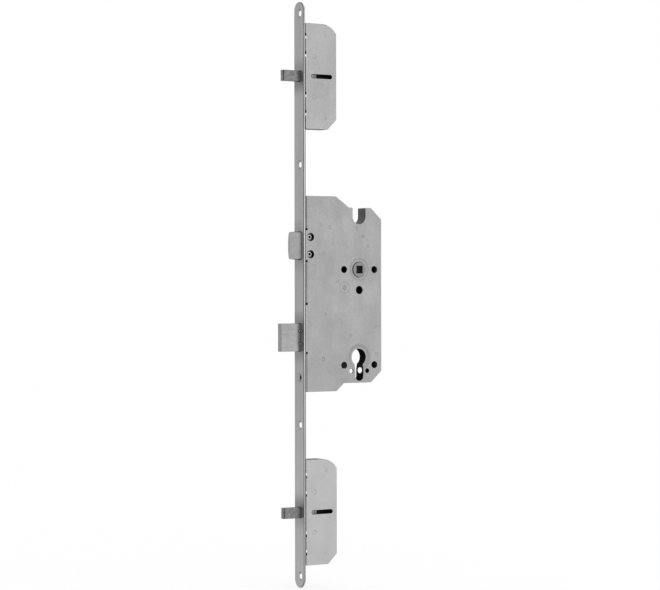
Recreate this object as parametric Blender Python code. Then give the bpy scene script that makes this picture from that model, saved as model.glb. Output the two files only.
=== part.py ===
"""Three-point mortise lock: a long forend with a main lock case and two auxiliary bolt boxes.

X runs into the door from the front of the forend, Y across the door leaf and Z up.
The origin is on the front face of the forend, at the height of the handle follower.
The lock is modelled with its latch, deadbolt and auxiliary bolts all the way out.
"""
import math

import bmesh
import bpy
from mathutils import Matrix, Vector

MM = 0.001

# Fits
GAP = 0.3 * MM
RUNNING_GAP = 0.35 * MM
FAR_PAST = 4.0 * MM

# Forend
FOREND_TOP = 277.0 * MM
FOREND_BOTTOM = -330.0 * MM
FOREND_WIDTH = 18.0 * MM
FOREND_THICKNESS = 3.0 * MM
END_SCREW_INSET = 11.75 * MM
UPPER_SCREW_HEIGHT = 108.5 * MM
LOWER_SCREW_HEIGHT = -161.3 * MM
WOOD_SCREW_HOLE = 5.8 * MM
WOOD_SCREW_HEAD = 10.8 * MM

# Main case
CASE_THICKNESS = 15.0 * MM
PLATE = 1.8 * MM
WALL = 1.8 * MM
BACKSET = 70.0 * MM
CASE_BEHIND_BACKSET = 28.0 * MM
CASE_TOP_ROOM = 2.9 * MM
CASE_BELOW_CYLINDER = 35.0 * MM
CASE_BACK_TOP = 64.9 * MM
CASE_BACK_BELOW_CYLINDER = 26.8 * MM
CASE_TOP_SLOPE = 16.5 * MM
CASE_BOTTOM_SLOPE = 9.3 * MM
SHOULDER_TO_BACKSET = 12.5 * MM
STEP_TO_BACKSET = 19.2 * MM
CASE_CHAMFER = (13.2 * MM, 12.1 * MM)
SCREW_NOTCH_WIDTH = 16.0 * MM
SCREW_NOTCH_FLOOR = 47.7 * MM
RELIEF_HEIGHTS = (41.7 * MM, 8.6 * MM, -35.7 * MM, -86.5 * MM)
RELIEF_HOLE = 2.2 * MM
BEND_LINE = 2.0 * MM
BEND_GROOVE = 0.5 * MM
FLANGE_DEPTH = 0.7 * MM

# Holes for the furniture and the cylinder
SPINDLE = 8.0 * MM
HUB_DIAMETER = 16.0 * MM
HUB_COLLAR_STEP = 1.0 * MM
HUB_RECESS_MARGIN = 3.5 * MM
ROSE_PITCH = 38.0 * MM
ROSE_HOLE = 7.4 * MM
LOWER_HOLE_DROP = 21.5 * MM
LOWER_HOLE = 8.6 * MM
CENTRES = 92.0 * MM
CYLINDER_ROUND = 17.8 * MM
CYLINDER_SLOT = 10.3 * MM
CYLINDER_HEIGHT = 33.8 * MM
CYLINDER_RECESS = 28.8 * MM
RECESS_DEPTH = 1.1 * MM
CYLINDER_SIDE_DROP = 8.2 * MM
CYLINDER_PIN_PITCH = 19.8 * MM
CYLINDER_PIN_DROP = 14.3 * MM
CYLINDER_PIN_HOLE = 5.0 * MM
CYLINDER_SCREW_DROP = 20.2 * MM
CYLINDER_SCREW = 5.0 * MM
CYLINDER_SCREW_HEAD = 9.2 * MM
CYLINDER_SCREW_SHORT = 10.0 * MM
SCREW_CROSS_WIDTH = 1.2 * MM
SCREW_CROSS_SPAN = 4.8 * MM
SCREW_CROSS_DEPTH = 1.5 * MM

# Latch and follower
LATCH_HEIGHT_POSITION = 24.6 * MM
LATCH_HEIGHT = 30.0 * MM
LATCH_ROOF = 1.6 * MM
LATCH_THICKNESS = 9.2 * MM
LATCH_REACH = 13.1 * MM
LATCH_BULGE = 1.6 * MM
LATCH_NOSE = 1.2 * MM
LATCH_REAR = 13.0 * MM
LATCH_THROW = 13.2 * MM
LATCH_SCREW_X = 9.6 * MM
LATCH_SCREW_PITCH = 17.8 * MM
LATCH_SCREW = 3.4 * MM
LATCH_SCREW_HEAD = 6.6 * MM
LATCH_SCREW_HEAD_HEIGHT = 1.1 * MM
LATCH_SCREW_PROUD = 0.8 * MM
LATCH_SCREW_SOCKET = 2.6 * MM
LATCH_ACCESS_HOLE = 8.6 * MM
CARRIER_SHEET = 2.4 * MM
CARRIER_FRONT = 1.0 * MM
CARRIER_HEIGHT = 25.0 * MM
CARRIER_STEM = 3.6 * MM
CARRIER_HOOK = 4.0 * MM
CARRIER_HOOK_DROP = 8.0 * MM
FOLLOWER_SWING = math.radians(32.0)
FOLLOWER_ARM_TIP = 3.2 * MM
FOLLOWER_ARM_NECK = 2.0 * MM
FOLLOWER_ARM_ROOT = 4.0 * MM
FOLLOWER_ARM_SHEET = 5.0 * MM
FOLLOWER_HEEL_STEP = 4.0 * MM
FOLLOWER_HEEL_TIP = 2.5 * MM
FOLLOWER_HEEL_NECK = 1.6 * MM
HOOK_GAP = 0.4 * MM
STEM_CLEARANCE = 0.85 * MM

# Springs
LATCH_SPRING_DIAMETER = 6.9 * MM
LATCH_SPRING_LENGTH = 31.0 * MM
LATCH_SPRING_WIRE = 0.9 * MM
LATCH_SPRING_TURNS = 9
LATCH_SEAT_SHEET = 2.0 * MM
FOLLOWER_SPRING_DIAMETER = 4.8 * MM
FOLLOWER_SPRING_WIRE = 0.8 * MM
FOLLOWER_SPRING_TURNS = 8

# Deadbolt
DEADBOLT_OVER_CYLINDER = 21.6 * MM
DEADBOLT_HEIGHT = 29.0 * MM
DEADBOLT_THICKNESS = 6.4 * MM
DEADBOLT_REACH = 24.2 * MM
DEADBOLT_REAR = 14.5 * MM
DEADBOLT_THROW = 24.0 * MM
DEADBOLT_CHAMFER = 0.8 * MM
DEADBOLT_RIVET = 2.4 * MM
DEADBOLT_RIVET_PITCH = 13.4 * MM
DEADBOLT_RIVET_X = -1.0 * MM
TAIL_SHEET = 2.4 * MM
TAIL_TONGUE = 20.0 * MM
TAIL_TONGUE_REACH = 4.0 * MM
TAIL_RISE = 13.4 * MM
TAIL_DROP = 4.1 * MM
TAIL_TOOTH_DEPTH = 6.5 * MM
TAIL_TOOTH = 4.0 * MM
TAIL_NOTCH = 9.0 * MM
DRIVE_PIN = 5.0 * MM
DRIVE_PIN_BEHIND_REAR = 5.5 * MM
DRIVE_PIN_DROP = 4.5 * MM
DEADBOLT_POST = 5.0 * MM
DEADBOLT_POST_TO_BACKSET = 11.3 * MM
DEADBOLT_POST_DROP = 12.5 * MM

# Drive slide, rods and cams
SLIDE_TRAVEL = 20.0 * MM
SLIDE_SHEET = 1.4 * MM
SLIDE_BAR = 11.0 * MM
SLIDE_BAR_GAP = 1.3 * MM
SLIDE_MARGIN = 4.0 * MM
SLIDE_PILLAR_DROP = 7.5 * MM
LOWER_SLIDE_PILLAR_X = 25.0 * MM
LOWER_SLIDE_PILLAR_DROP = 8.1 * MM
SLIDE_LEG = 7.0 * MM
SLIDE_TONGUE_LENGTH = 4.4 * MM
ROD_THICKNESS = 1.8 * MM
ROD_STANDOFF = 0.5 * MM
ROD_CLEARANCE = 1.1 * MM
ROD_SIDE_GAP = 0.3 * MM
ROD_RAIL = 2.1 * MM
ROD_END_WALL = 3.5 * MM
ROD_BOLT_GAP = 2.4 * MM
SCREW_PASS = 1.4 * MM
CAM_MARGIN = 4.0 * MM
CAM_BACK_MARGIN = 3.0 * MM
CAM_LEG = 7.5 * MM

# Auxiliary bolt boxes
UPPER_BOX_DROP = 76.8 * MM
LOWER_BOX_RISE = 78.1 * MM
BOX_HALF_HEIGHT = 54.8 * MM
BOX_ROUNDING = 21.2 * MM
BOX_ROUNDING_RUN = 18.0 * MM
BOX_CHAMFER = 10.6 * MM
BOX_LUG_OFFSETS = (39.8 * MM, 21.0 * MM, -20.8 * MM, -39.9 * MM)
BOX_NOTCH_SHIFT = 3.1 * MM
BOX_NOTCH_DEPTH = 1.4 * MM
BOX_NOTCH_HEIGHT = 2.4 * MM
BOLT_HEIGHT = 11.2 * MM
BOLT_THICKNESS = 6.4 * MM
BOLT_REACH = 20.4 * MM
BOLT_REAR = 17.0 * MM
BOLT_THROW = 21.6 * MM
BOLT_CHAMFER = 0.6 * MM
BOLT_PIN = 4.0 * MM
BOLT_PIN_X = 12.6 * MM
GUIDE_FRONT = 8.0 * MM
GUIDE_REAR = 20.0 * MM
GUIDE_HEIGHT = 21.0 * MM
GUIDE_BOSS = 4.6 * MM
GUIDE_BOSS_X = 14.2 * MM
GUIDE_BOSS_OFFSET = 21.0 * MM
BOX_PILLAR_X = 28.0 * MM
BOX_PILLAR_INSET = 11.8 * MM

# Pillars that hold base and cover apart
PILLAR = 4.4 * MM
PILLAR_COLLAR = 5.4 * MM
PILLAR_TENON = 3.2 * MM
SPRING_PILLAR_LEAD = 1.8 * MM
TOP_PILLAR_BEHIND = 4.5 * MM
TOP_PILLAR_RISE = 5.3 * MM
BACK_PILLAR_INSET = 6.5 * MM
BACK_PILLAR_RISE = 3.3 * MM

# Values that follow from the sizes above
CASE_HALF = CASE_THICKNESS / 2
INNER_HALF = CASE_HALF - PLATE
CASE_FRONT = FOREND_THICKNESS + GAP
CASE_BACK = BACKSET + CASE_BEHIND_BACKSET
CYLINDER_Z = -CENTRES
CASE_BOTTOM = CYLINDER_Z - CASE_BELOW_CYLINDER
CASE_BACK_BOTTOM = CYLINDER_Z - CASE_BACK_BELOW_CYLINDER
CYLINDER_SCREW_Z = CYLINDER_Z - CYLINDER_SCREW_DROP
CYLINDER_SCREW_END = BACKSET - CYLINDER_SCREW_SHORT
WOOD_SCREW_HEIGHTS = (
    FOREND_TOP - END_SCREW_INSET,
    UPPER_SCREW_HEIGHT,
    LOWER_SCREW_HEIGHT,
    FOREND_BOTTOM + END_SCREW_INSET,
)
HUB_COLLAR = HUB_DIAMETER + 2 * HUB_COLLAR_STEP
HUB_RECESS = HUB_DIAMETER + 2 * HUB_RECESS_MARGIN
ARM_LENGTH = LATCH_THROW / (2 * math.sin(FOLLOWER_SWING / 2))
STEM_Z = ARM_LENGTH + FOLLOWER_ARM_TIP + STEM_CLEARANCE + CARRIER_STEM / 2
HOOK_X = BACKSET - LATCH_THROW / 2 + FOLLOWER_ARM_TIP + HOOK_GAP
SEAT_X = LATCH_REAR + GAP + LATCH_SPRING_LENGTH + GAP
FOLLOWER_HEEL = HUB_COLLAR / 2 + FOLLOWER_HEEL_STEP
HEEL_SWING = FOLLOWER_HEEL * math.sin(FOLLOWER_SWING / 2)
HEEL_Z = -FOLLOWER_HEEL * math.cos(FOLLOWER_SWING / 2)
SLIDE_FAR = INNER_HALF - RUNNING_GAP
SLIDE_NEAR = SLIDE_FAR - SLIDE_SHEET
DEADBOLT_HEIGHT_POSITION = CYLINDER_Z + DEADBOLT_OVER_CYLINDER
TAIL_TOP = DEADBOLT_HEIGHT_POSITION + TAIL_RISE
TAIL_FLOOR = DEADBOLT_HEIGHT_POSITION - TAIL_DROP
LOWER_SLIDE_PILLAR = (
    LOWER_SLIDE_PILLAR_X,
    DEADBOLT_HEIGHT_POSITION - DEADBOLT_HEIGHT / 2 - LOWER_SLIDE_PILLAR_DROP,
)
DRIVE_PIN_X = DEADBOLT_REAR + DRIVE_PIN_BEHIND_REAR
DRIVE_PIN_Z = TAIL_TOP - DRIVE_PIN_DROP
TAIL_NOTCH_X = BACKSET - DEADBOLT_THROW / 2
TAIL_END = TAIL_NOTCH_X + TAIL_NOTCH / 2 + TAIL_TOOTH
DEADBOLT_POST_X = BACKSET - DEADBOLT_POST_TO_BACKSET
DEADBOLT_POST_Z = TAIL_TOP - DEADBOLT_POST_DROP
SLIDE_BAR_X = LATCH_REAR + LATCH_THROW + SLIDE_BAR_GAP
UPPER_ROD_FLOOR = LATCH_HEIGHT_POSITION + LATCH_HEIGHT / 2 + ROD_CLEARANCE
SLIDE_TOP = UPPER_ROD_FLOOR + ROD_END_WALL + GAP + SLIDE_LEG
CASE_TOP = SLIDE_TOP + SLIDE_TRAVEL + CASE_TOP_ROOM + WALL
UPPER_SLIDE_PILLAR = (SLIDE_BAR_X + SLIDE_BAR / 2, SLIDE_TOP - SLIDE_PILLAR_DROP)
SPRING_PILLAR_X = SLIDE_BAR_X + SLIDE_BAR + SPRING_PILLAR_LEAD + PILLAR_COLLAR / 2
FOLLOWER_SPRING_START = SPRING_PILLAR_X + PILLAR_COLLAR / 2 + GAP
FOLLOWER_SPRING_END = BACKSET + HEEL_SWING - FOLLOWER_HEEL_TIP - 2 * GAP
SLIDE_ZONE_FRONT = DRIVE_PIN_X - DRIVE_PIN / 2 - SLIDE_MARGIN
SLIDE_ZONE_BACK = DRIVE_PIN_X + DEADBOLT_THROW + DRIVE_PIN / 2 + SLIDE_MARGIN
SLIDE_ZONE_TOP = DRIVE_PIN_Z + DRIVE_PIN / 2 + SLIDE_MARGIN
SLIDE_ZONE_FLOOR = LOWER_SLIDE_PILLAR[1] - PILLAR / 2
SLIDE_FLOOR = LOWER_SLIDE_PILLAR[1] - SLIDE_TRAVEL - PILLAR / 2 - SLIDE_MARGIN
SLIDE_LOWER_LEG_BACK = LOWER_SLIDE_PILLAR[0] + SLIDE_LEG
ROD_FRONT = FOREND_THICKNESS + ROD_STANDOFF
ROD_BACK = ROD_FRONT + ROD_THICKNESS
ROD_NEAR_EDGE = FLANGE_DEPTH - INNER_HALF
LOWER_ROD_TOP = DEADBOLT_HEIGHT_POSITION - DEADBOLT_HEIGHT / 2 - SLIDE_TRAVEL - ROD_CLEARANCE
LOWER_TONGUE_TOP = LOWER_ROD_TOP - ROD_END_WALL
UPPER_BOX_HEIGHT = FOREND_TOP - UPPER_BOX_DROP
LOWER_BOX_HEIGHT = FOREND_BOTTOM + LOWER_BOX_RISE
BOX_PILLAR_OFFSET = BOX_HALF_HEIGHT - BOX_PILLAR_INSET
BOLT_HALF = BOLT_HEIGHT / 2
CAM_BACK = BOLT_PIN_X + BOLT_THROW + BOLT_PIN / 2 + GAP + CAM_BACK_MARGIN
BOX_BACK = CAM_BACK + RUNNING_GAP + WALL

# Case pillars, as (X, Z)
CASE_PILLARS = {
    "pillar_top": (BACKSET + TOP_PILLAR_BEHIND, STEM_Z + TOP_PILLAR_RISE),
    "pillar_spring": (SPRING_PILLAR_X, HEEL_Z),
    "pillar_back": (CASE_BACK - BACK_PILLAR_INSET, CYLINDER_Z + BACK_PILLAR_RISE),
    "pillar_slide_upper": UPPER_SLIDE_PILLAR,
    "pillar_slide_lower": LOWER_SLIDE_PILLAR,
}

# Finishes: colour, roughness, metallic
CASE_ZINC = ((0.42, 0.42, 0.42), 0.45, 0.9)
FOREND_STEEL = ((0.36, 0.36, 0.36), 0.38, 1.0)
BOLT_STEEL = ((0.38, 0.38, 0.38), 0.35, 1.0)
DARK_BOLT_STEEL = ((0.22, 0.22, 0.22), 0.4, 1.0)
INNER_STEEL = ((0.30, 0.30, 0.31), 0.5, 0.9)
SPRING_STEEL = ((0.18, 0.18, 0.19), 0.35, 1.0)
SCREW_STEEL = ((0.25, 0.25, 0.26), 0.35, 1.0)

ROUND_SIDES = 20
SMALL_SIDES = 12


# Outlines, as lists of points that run counter-clockwise

def rectangle(low_a, low_b, high_a, high_b):
    return [(low_a, low_b), (high_a, low_b), (high_a, high_b), (low_a, high_b)]


def arc(centre, radius, start, end, steps):
    """Points on an arc, both ends included, from one angle in degrees to another."""
    points = []
    for step in range(steps + 1):
        angle = math.radians(start + (end - start) * step / steps)
        points.append((centre[0] + radius * math.cos(angle), centre[1] + radius * math.sin(angle)))
    return points


def circle(centre, diameter, sides=ROUND_SIDES):
    return arc(centre, diameter / 2, 0.0, 360.0 - 360.0 / sides, sides - 1)


def stadium(first, second, width, steps=8):
    """Slot with round ends between two centres."""
    heading = math.degrees(math.atan2(second[1] - first[1], second[0] - first[0]))
    far_end = arc(second, width / 2, heading - 90.0, heading + 90.0, steps)
    near_end = arc(first, width / 2, heading + 90.0, heading + 270.0, steps)
    return far_end + near_end


def taper(root, root_radius, tip, tip_radius, steps=8):
    """Outline round two circles of unlike size."""
    heading = math.degrees(math.atan2(tip[1] - root[1], tip[0] - root[0]))
    span = math.dist(root, tip)
    lean = math.degrees(math.acos((root_radius - tip_radius) / span))
    round_tip = arc(tip, tip_radius, heading - lean, heading + lean, steps)
    round_root = arc(root, root_radius, heading + lean, heading + 360.0 - lean, steps + 4)
    return round_tip + round_root


def inset(outline, distances):
    """Outline with every edge moved inwards by its own distance."""
    count = len(outline)
    lines = []
    for index, distance in enumerate(distances):
        start = Vector(outline[index])
        along = (Vector(outline[(index + 1) % count]) - start).normalized()
        inwards = Vector((-along.y, along.x))
        lines.append((start + inwards * distance, along))
    points = []
    for index in range(count):
        before, heading = lines[index - 1]
        after, next_heading = lines[index]
        cross = heading.x * next_heading.y - heading.y * next_heading.x
        reach = ((after.x - before.x) * next_heading.y - (after.y - before.y) * next_heading.x) / cross
        corner = before + heading * reach
        points.append((corner.x, corner.y))
    return points


# Solids, as meshes that are not yet in the scene

def place(axis, first, second, along):
    """World point of a section's two coordinates and a distance along the axis."""
    if axis == "X":
        return Vector((along, first, second))
    if axis == "Y":
        return Vector((first, along, second))
    return Vector((first, second, along))


def raise_faces(mesh, axis, rise):
    """Extrude every face of a flat mesh along an axis."""
    grown = bmesh.ops.extrude_face_region(mesh, geom=list(mesh.faces))
    lifted = [item for item in grown["geom"] if isinstance(item, bmesh.types.BMVert)]
    bmesh.ops.translate(mesh, verts=lifted, vec=place(axis, 0.0, 0.0, rise))
    bmesh.ops.recalc_face_normals(mesh, faces=list(mesh.faces))
    return mesh


def prism(outline, low, high, axis="Y", holes=()):
    """Outline with holes, extruded along an axis."""
    if not holes:
        return prisms([outline], low, high, axis)
    mesh = bmesh.new()
    edges = []
    for loop in (outline, *holes):
        corners = [mesh.verts.new(place(axis, *point, low)) for point in loop]
        edges += [mesh.edges.new((corners[i - 1], corners[i])) for i in range(len(corners))]
    bmesh.ops.triangle_fill(mesh, use_beauty=True, edges=edges)
    return raise_faces(mesh, axis, high - low)


def prisms(outlines, low, high, axis="Y"):
    """Outlines that don't touch, extruded along an axis as one tool."""
    mesh = bmesh.new()
    for outline in outlines:
        mesh.faces.new([mesh.verts.new(place(axis, *point, low)) for point in outline])
    return raise_faces(mesh, axis, high - low)


def block(low, high):
    """Box between two corners."""
    return prism(rectangle(low[0], low[2], high[0], high[2]), low[1], high[1])


def turned(profile, centre, axis="Y", sides=SMALL_SIDES):
    """Turned solid from pairs of a distance along the axis and a radius."""
    mesh = bmesh.new()
    rings = []
    for along, radius in profile:
        section = circle(centre, 2 * radius, sides)
        rings.append([mesh.verts.new(place(axis, *point, along)) for point in section])
    for lower, upper in zip(rings, rings[1:]):
        for step in range(sides):
            mesh.faces.new((lower[step - 1], lower[step], upper[step], upper[step - 1]))
    mesh.faces.new(rings[0])
    mesh.faces.new(rings[-1])
    bmesh.ops.recalc_face_normals(mesh, faces=list(mesh.faces))
    return mesh


def coil(start, length, height, diameter, wire, turns, points=9, sides=5):
    """Compression spring along X: one unbroken tube that winds round its axis."""
    mesh = bmesh.new()
    radius = (diameter - wire) / 2
    span = length - wire
    count = turns * points
    rings = []
    for step in range(count + 1):
        angle = 2 * math.pi * step / points
        outwards = Vector((0.0, math.cos(angle), math.sin(angle)))
        middle = Vector((start + wire / 2 + span * step / count, 0.0, height)) + outwards * radius
        ring = []
        for side in range(sides):
            turn = 2 * math.pi * side / sides
            offset = outwards * math.cos(turn) + Vector((math.sin(turn), 0.0, 0.0))
            ring.append(mesh.verts.new(middle + offset * wire / 2))
        rings.append(ring)
    for lower, upper in zip(rings, rings[1:]):
        for side in range(sides):
            mesh.faces.new((lower[side - 1], lower[side], upper[side], upper[side - 1]))
    mesh.faces.new(rings[0])
    mesh.faces.new(rings[-1])
    bmesh.ops.recalc_face_normals(mesh, faces=list(mesh.faces))
    return mesh


# Objects

def clear_scene():
    for item in list(bpy.data.objects):
        bpy.data.objects.remove(item, do_unlink=True)


def make_finish(name, finish):
    colour, roughness, metallic = finish
    material = bpy.data.materials.new(name)
    material.use_nodes = True
    shader = material.node_tree.nodes["Principled BSDF"]
    shader.inputs["Base Color"].default_value = (*colour, 1.0)
    shader.inputs["Roughness"].default_value = roughness
    shader.inputs["Metallic"].default_value = metallic
    return material


def put_in_scene(name, mesh):
    data = bpy.data.meshes.new(name)
    mesh.to_mesh(data)
    mesh.free()
    item = bpy.data.objects.new(name, data)
    bpy.context.collection.objects.link(item)
    return item


def combine(item, operation, tools):
    """Join solids to an object, cut them out of it or keep what they share, one after another."""
    for tool_mesh in tools:
        tool = put_in_scene("tool", tool_mesh)
        modifier = item.modifiers.new(operation, "BOOLEAN")
        modifier.operation = operation
        modifier.solver = "EXACT"
        modifier.object = tool
        bpy.context.view_layer.update()
        shaped = item.evaluated_get(bpy.context.evaluated_depsgraph_get())
        data = bpy.data.meshes.new_from_object(shaped)
        item.modifiers.clear()
        item.data = data
        bpy.data.objects.remove(tool, do_unlink=True)


def piece(name, mesh, finish, join=(), cut=(), keep=()):
    """One sub-part of the lock, with its own finish."""
    item = put_in_scene(name, mesh)
    combine(item, "UNION", join)
    combine(item, "INTERSECT", keep)
    combine(item, "DIFFERENCE", cut)
    item.data.name = name
    item.data.materials.clear()
    item.data.materials.append(make_finish(name + "_finish", finish))
    item.data.shade_smooth()
    item.data.set_sharp_from_angle(angle=math.radians(30.0))
    return item


def carry(name, point, pieces):
    """Hang moving pieces on an empty that marks their joint."""
    empty = bpy.data.objects.new(name, None)
    empty.location = point
    bpy.context.collection.objects.link(empty)
    for item in pieces:
        item.data.transform(Matrix.Translation(-Vector(point)))
        item.parent = empty


# Shared outlines

def latch_section(grow):
    """Latch seen from the front, as (Y, Z), with its shallow roof at top and bottom."""
    half_width = LATCH_THICKNESS / 2 + grow
    ridge = LATCH_HEIGHT / 2 + grow
    eave = ridge - LATCH_ROOF
    half = [(-half_width, -eave), (0.0, -ridge), (half_width, -eave)]
    other = [(half_width, eave), (0.0, ridge), (-half_width, eave)]
    return [(y, z + LATCH_HEIGHT_POSITION) for y, z in half + other]


def latch_screw_centre(side):
    return (LATCH_SCREW_X, LATCH_HEIGHT_POSITION + side * LATCH_SCREW_PITCH / 2)


def case_outline():
    notch_half = SCREW_NOTCH_WIDTH / 2
    notch_centre = (BACKSET, SCREW_NOTCH_FLOOR + notch_half)
    shoulder = BACKSET - SHOULDER_TO_BACKSET
    step = BACKSET - STEP_TO_BACKSET
    chamfer_x, chamfer_z = CASE_CHAMFER
    return [
        (CASE_FRONT, CASE_BOTTOM),
        (step - CASE_BOTTOM_SLOPE, CASE_BOTTOM),
        (step, CASE_BACK_BOTTOM),
        (CASE_BACK - chamfer_x, CASE_BACK_BOTTOM),
        (CASE_BACK, CASE_BACK_BOTTOM + chamfer_z),
        (CASE_BACK, CASE_BACK_TOP - chamfer_z),
        (CASE_BACK - chamfer_x, CASE_BACK_TOP),
        (BACKSET + notch_half, CASE_BACK_TOP),
        *arc(notch_centre, notch_half, 0.0, -180.0, 12),
        (BACKSET - notch_half, CASE_BACK_TOP),
        (shoulder, CASE_BACK_TOP),
        (shoulder - CASE_TOP_SLOPE, CASE_TOP),
        (CASE_FRONT, CASE_TOP),
    ]


def box_outline(height):
    round_centre = (BOX_BACK - BOX_ROUNDING_RUN, height + BOX_HALF_HEIGHT - BOX_ROUNDING)
    round_start = math.degrees(math.acos(BOX_ROUNDING_RUN / BOX_ROUNDING))
    return [
        (CASE_FRONT, height - BOX_HALF_HEIGHT),
        (BOX_BACK - BOX_CHAMFER, height - BOX_HALF_HEIGHT),
        (BOX_BACK, height - BOX_HALF_HEIGHT + BOX_CHAMFER),
        *arc(round_centre, BOX_ROUNDING, round_start, 90.0, 8),
        (CASE_FRONT, height + BOX_HALF_HEIGHT),
    ]


def pocket(outline):
    """Room inside the walls, open at the front and on the cover's side."""
    distances = [WALL] * (len(outline) - 1) + [-FAR_PAST]
    return prism(inset(outline, distances), -CASE_THICKNESS, INNER_HALF)


def cylinder_outline():
    """Profile-cylinder hole: a round top and a narrower slot below it."""
    radius = CYLINDER_ROUND / 2
    slot_half = CYLINDER_SLOT / 2
    meet = math.degrees(math.acos(slot_half / radius))
    centre = (BACKSET, CYLINDER_Z)
    foot = (BACKSET, CYLINDER_Z + radius - CYLINDER_HEIGHT + slot_half)
    return arc(foot, slot_half, 180.0, 360.0, 8) + arc(centre, radius, -meet, 180.0 + meet, 22)


def furniture_holes():
    """Holes that go right through both plates of the main case."""
    rose = ROSE_PITCH / 2
    side_z = CYLINDER_Z - CYLINDER_SIDE_DROP
    pin_z = CYLINDER_Z - CYLINDER_PIN_DROP
    holes = [
        circle((BACKSET, 0.0), HUB_DIAMETER + 2 * GAP, 28),
        circle((BACKSET, -LOWER_HOLE_DROP), LOWER_HOLE),
        cylinder_outline(),
    ]
    for side in (-1, 1):
        holes.append(circle((BACKSET + side * rose, 0.0), ROSE_HOLE))
        holes.append(circle((BACKSET + side * rose, side_z), ROSE_HOLE))
        pin = (BACKSET + side * CYLINDER_PIN_PITCH / 2, pin_z)
        holes.append(circle(pin, CYLINDER_PIN_HOLE, SMALL_SIDES))
    return holes


def tenon_holes(centres):
    return [circle(centre, PILLAR_TENON + 2 * GAP, SMALL_SIDES) for centre in centres]


def box_pillar_centres(height):
    return [(BOX_PILLAR_X, height + side * BOX_PILLAR_OFFSET) for side in (1, -1)]


def plate_recesses(outer, inwards):
    """Shallow round recesses round the follower and the cylinder, from an outer face."""
    ends = sorted((outer - inwards * FAR_PAST, outer + inwards * RECESS_DEPTH))
    rounds = [circle((BACKSET, 0.0), HUB_RECESS, 30), circle((BACKSET, CYLINDER_Z), CYLINDER_RECESS, 30)]
    return prisms(rounds, *ends)


def rod_gate(height):
    """Passage for a rod through the front of a horizontal wall."""
    low = (0.0, -CASE_THICKNESS, height - FAR_PAST)
    high = (ROD_BACK + RUNNING_GAP, SLIDE_FAR + RUNNING_GAP / 2, height + FAR_PAST)
    return block(low, high)


# Forend and its screw

def make_forend():
    half = FOREND_WIDTH / 2
    top_end = arc((0.0, FOREND_TOP - half), half, 0.0, 180.0, 12)
    bottom_end = arc((0.0, FOREND_BOTTOM + half), half, 180.0, 360.0, 12)
    screw_heights = (*WOOD_SCREW_HEIGHTS, CYLINDER_SCREW_Z)
    diameters = [WOOD_SCREW_HOLE] * len(WOOD_SCREW_HEIGHTS) + [CYLINDER_SCREW + 2 * GAP]
    holes = [circle((0.0, z), size) for z, size in zip(screw_heights, diameters)]
    holes.append(latch_section(RUNNING_GAP))
    bolts = [(DEADBOLT_HEIGHT_POSITION, DEADBOLT_THICKNESS, DEADBOLT_HEIGHT)]
    bolts += [(z, BOLT_THICKNESS, BOLT_HEIGHT) for z in (UPPER_BOX_HEIGHT, LOWER_BOX_HEIGHT)]
    for z, width, height in bolts:
        side = width / 2 + RUNNING_GAP
        rise = height / 2 + RUNNING_GAP
        holes.append(rectangle(-side, z - rise, side, z + rise))
    heads = [WOOD_SCREW_HEAD] * len(WOOD_SCREW_HEIGHTS) + [CYLINDER_SCREW_HEAD + 2 * GAP]
    sinks = []
    for z, head, size in zip(screw_heights, heads, diameters):
        depth = (head - size) / 2
        profile = [(-depth, head / 2 + depth), (depth + GAP, size / 2 - GAP)]
        sinks.append(turned(profile, (0.0, z), "X", ROUND_SIDES))
    body = prism(top_end + bottom_end, 0.0, FOREND_THICKNESS, "X", holes)
    piece("forend", body, FOREND_STEEL, cut=sinks)


def make_cylinder_screw():
    head = CYLINDER_SCREW_HEAD / 2
    shank = CYLINDER_SCREW / 2
    front = GAP / 3
    profile = [
        (front, head - front),
        (head - shank, shank),
        (CYLINDER_SCREW_END, shank),
    ]
    cross = []
    for wide, tall in ((SCREW_CROSS_SPAN, SCREW_CROSS_WIDTH), (SCREW_CROSS_WIDTH, SCREW_CROSS_SPAN)):
        low = (-FAR_PAST, -wide / 2, CYLINDER_SCREW_Z - tall / 2)
        high = (SCREW_CROSS_DEPTH, wide / 2, CYLINDER_SCREW_Z + tall / 2)
        cross.append(block(low, high))
    body = turned(profile, (0.0, CYLINDER_SCREW_Z), "X", 16)
    piece("cylinder_screw", body, SCREW_STEEL, cut=cross)


# Main case

def make_case_base():
    outline = case_outline()
    holes = furniture_holes() + tenon_holes(CASE_PILLARS.values())
    cuts = [pocket(outline), rod_gate(CASE_TOP), rod_gate(CASE_BOTTOM)]
    cuts += [prisms(holes, 0.0, CASE_THICKNESS), plate_recesses(CASE_HALF, -1)]
    piece("case_base", prism(outline, -INNER_HALF + GAP, CASE_HALF), CASE_ZINC, cut=cuts)


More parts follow.
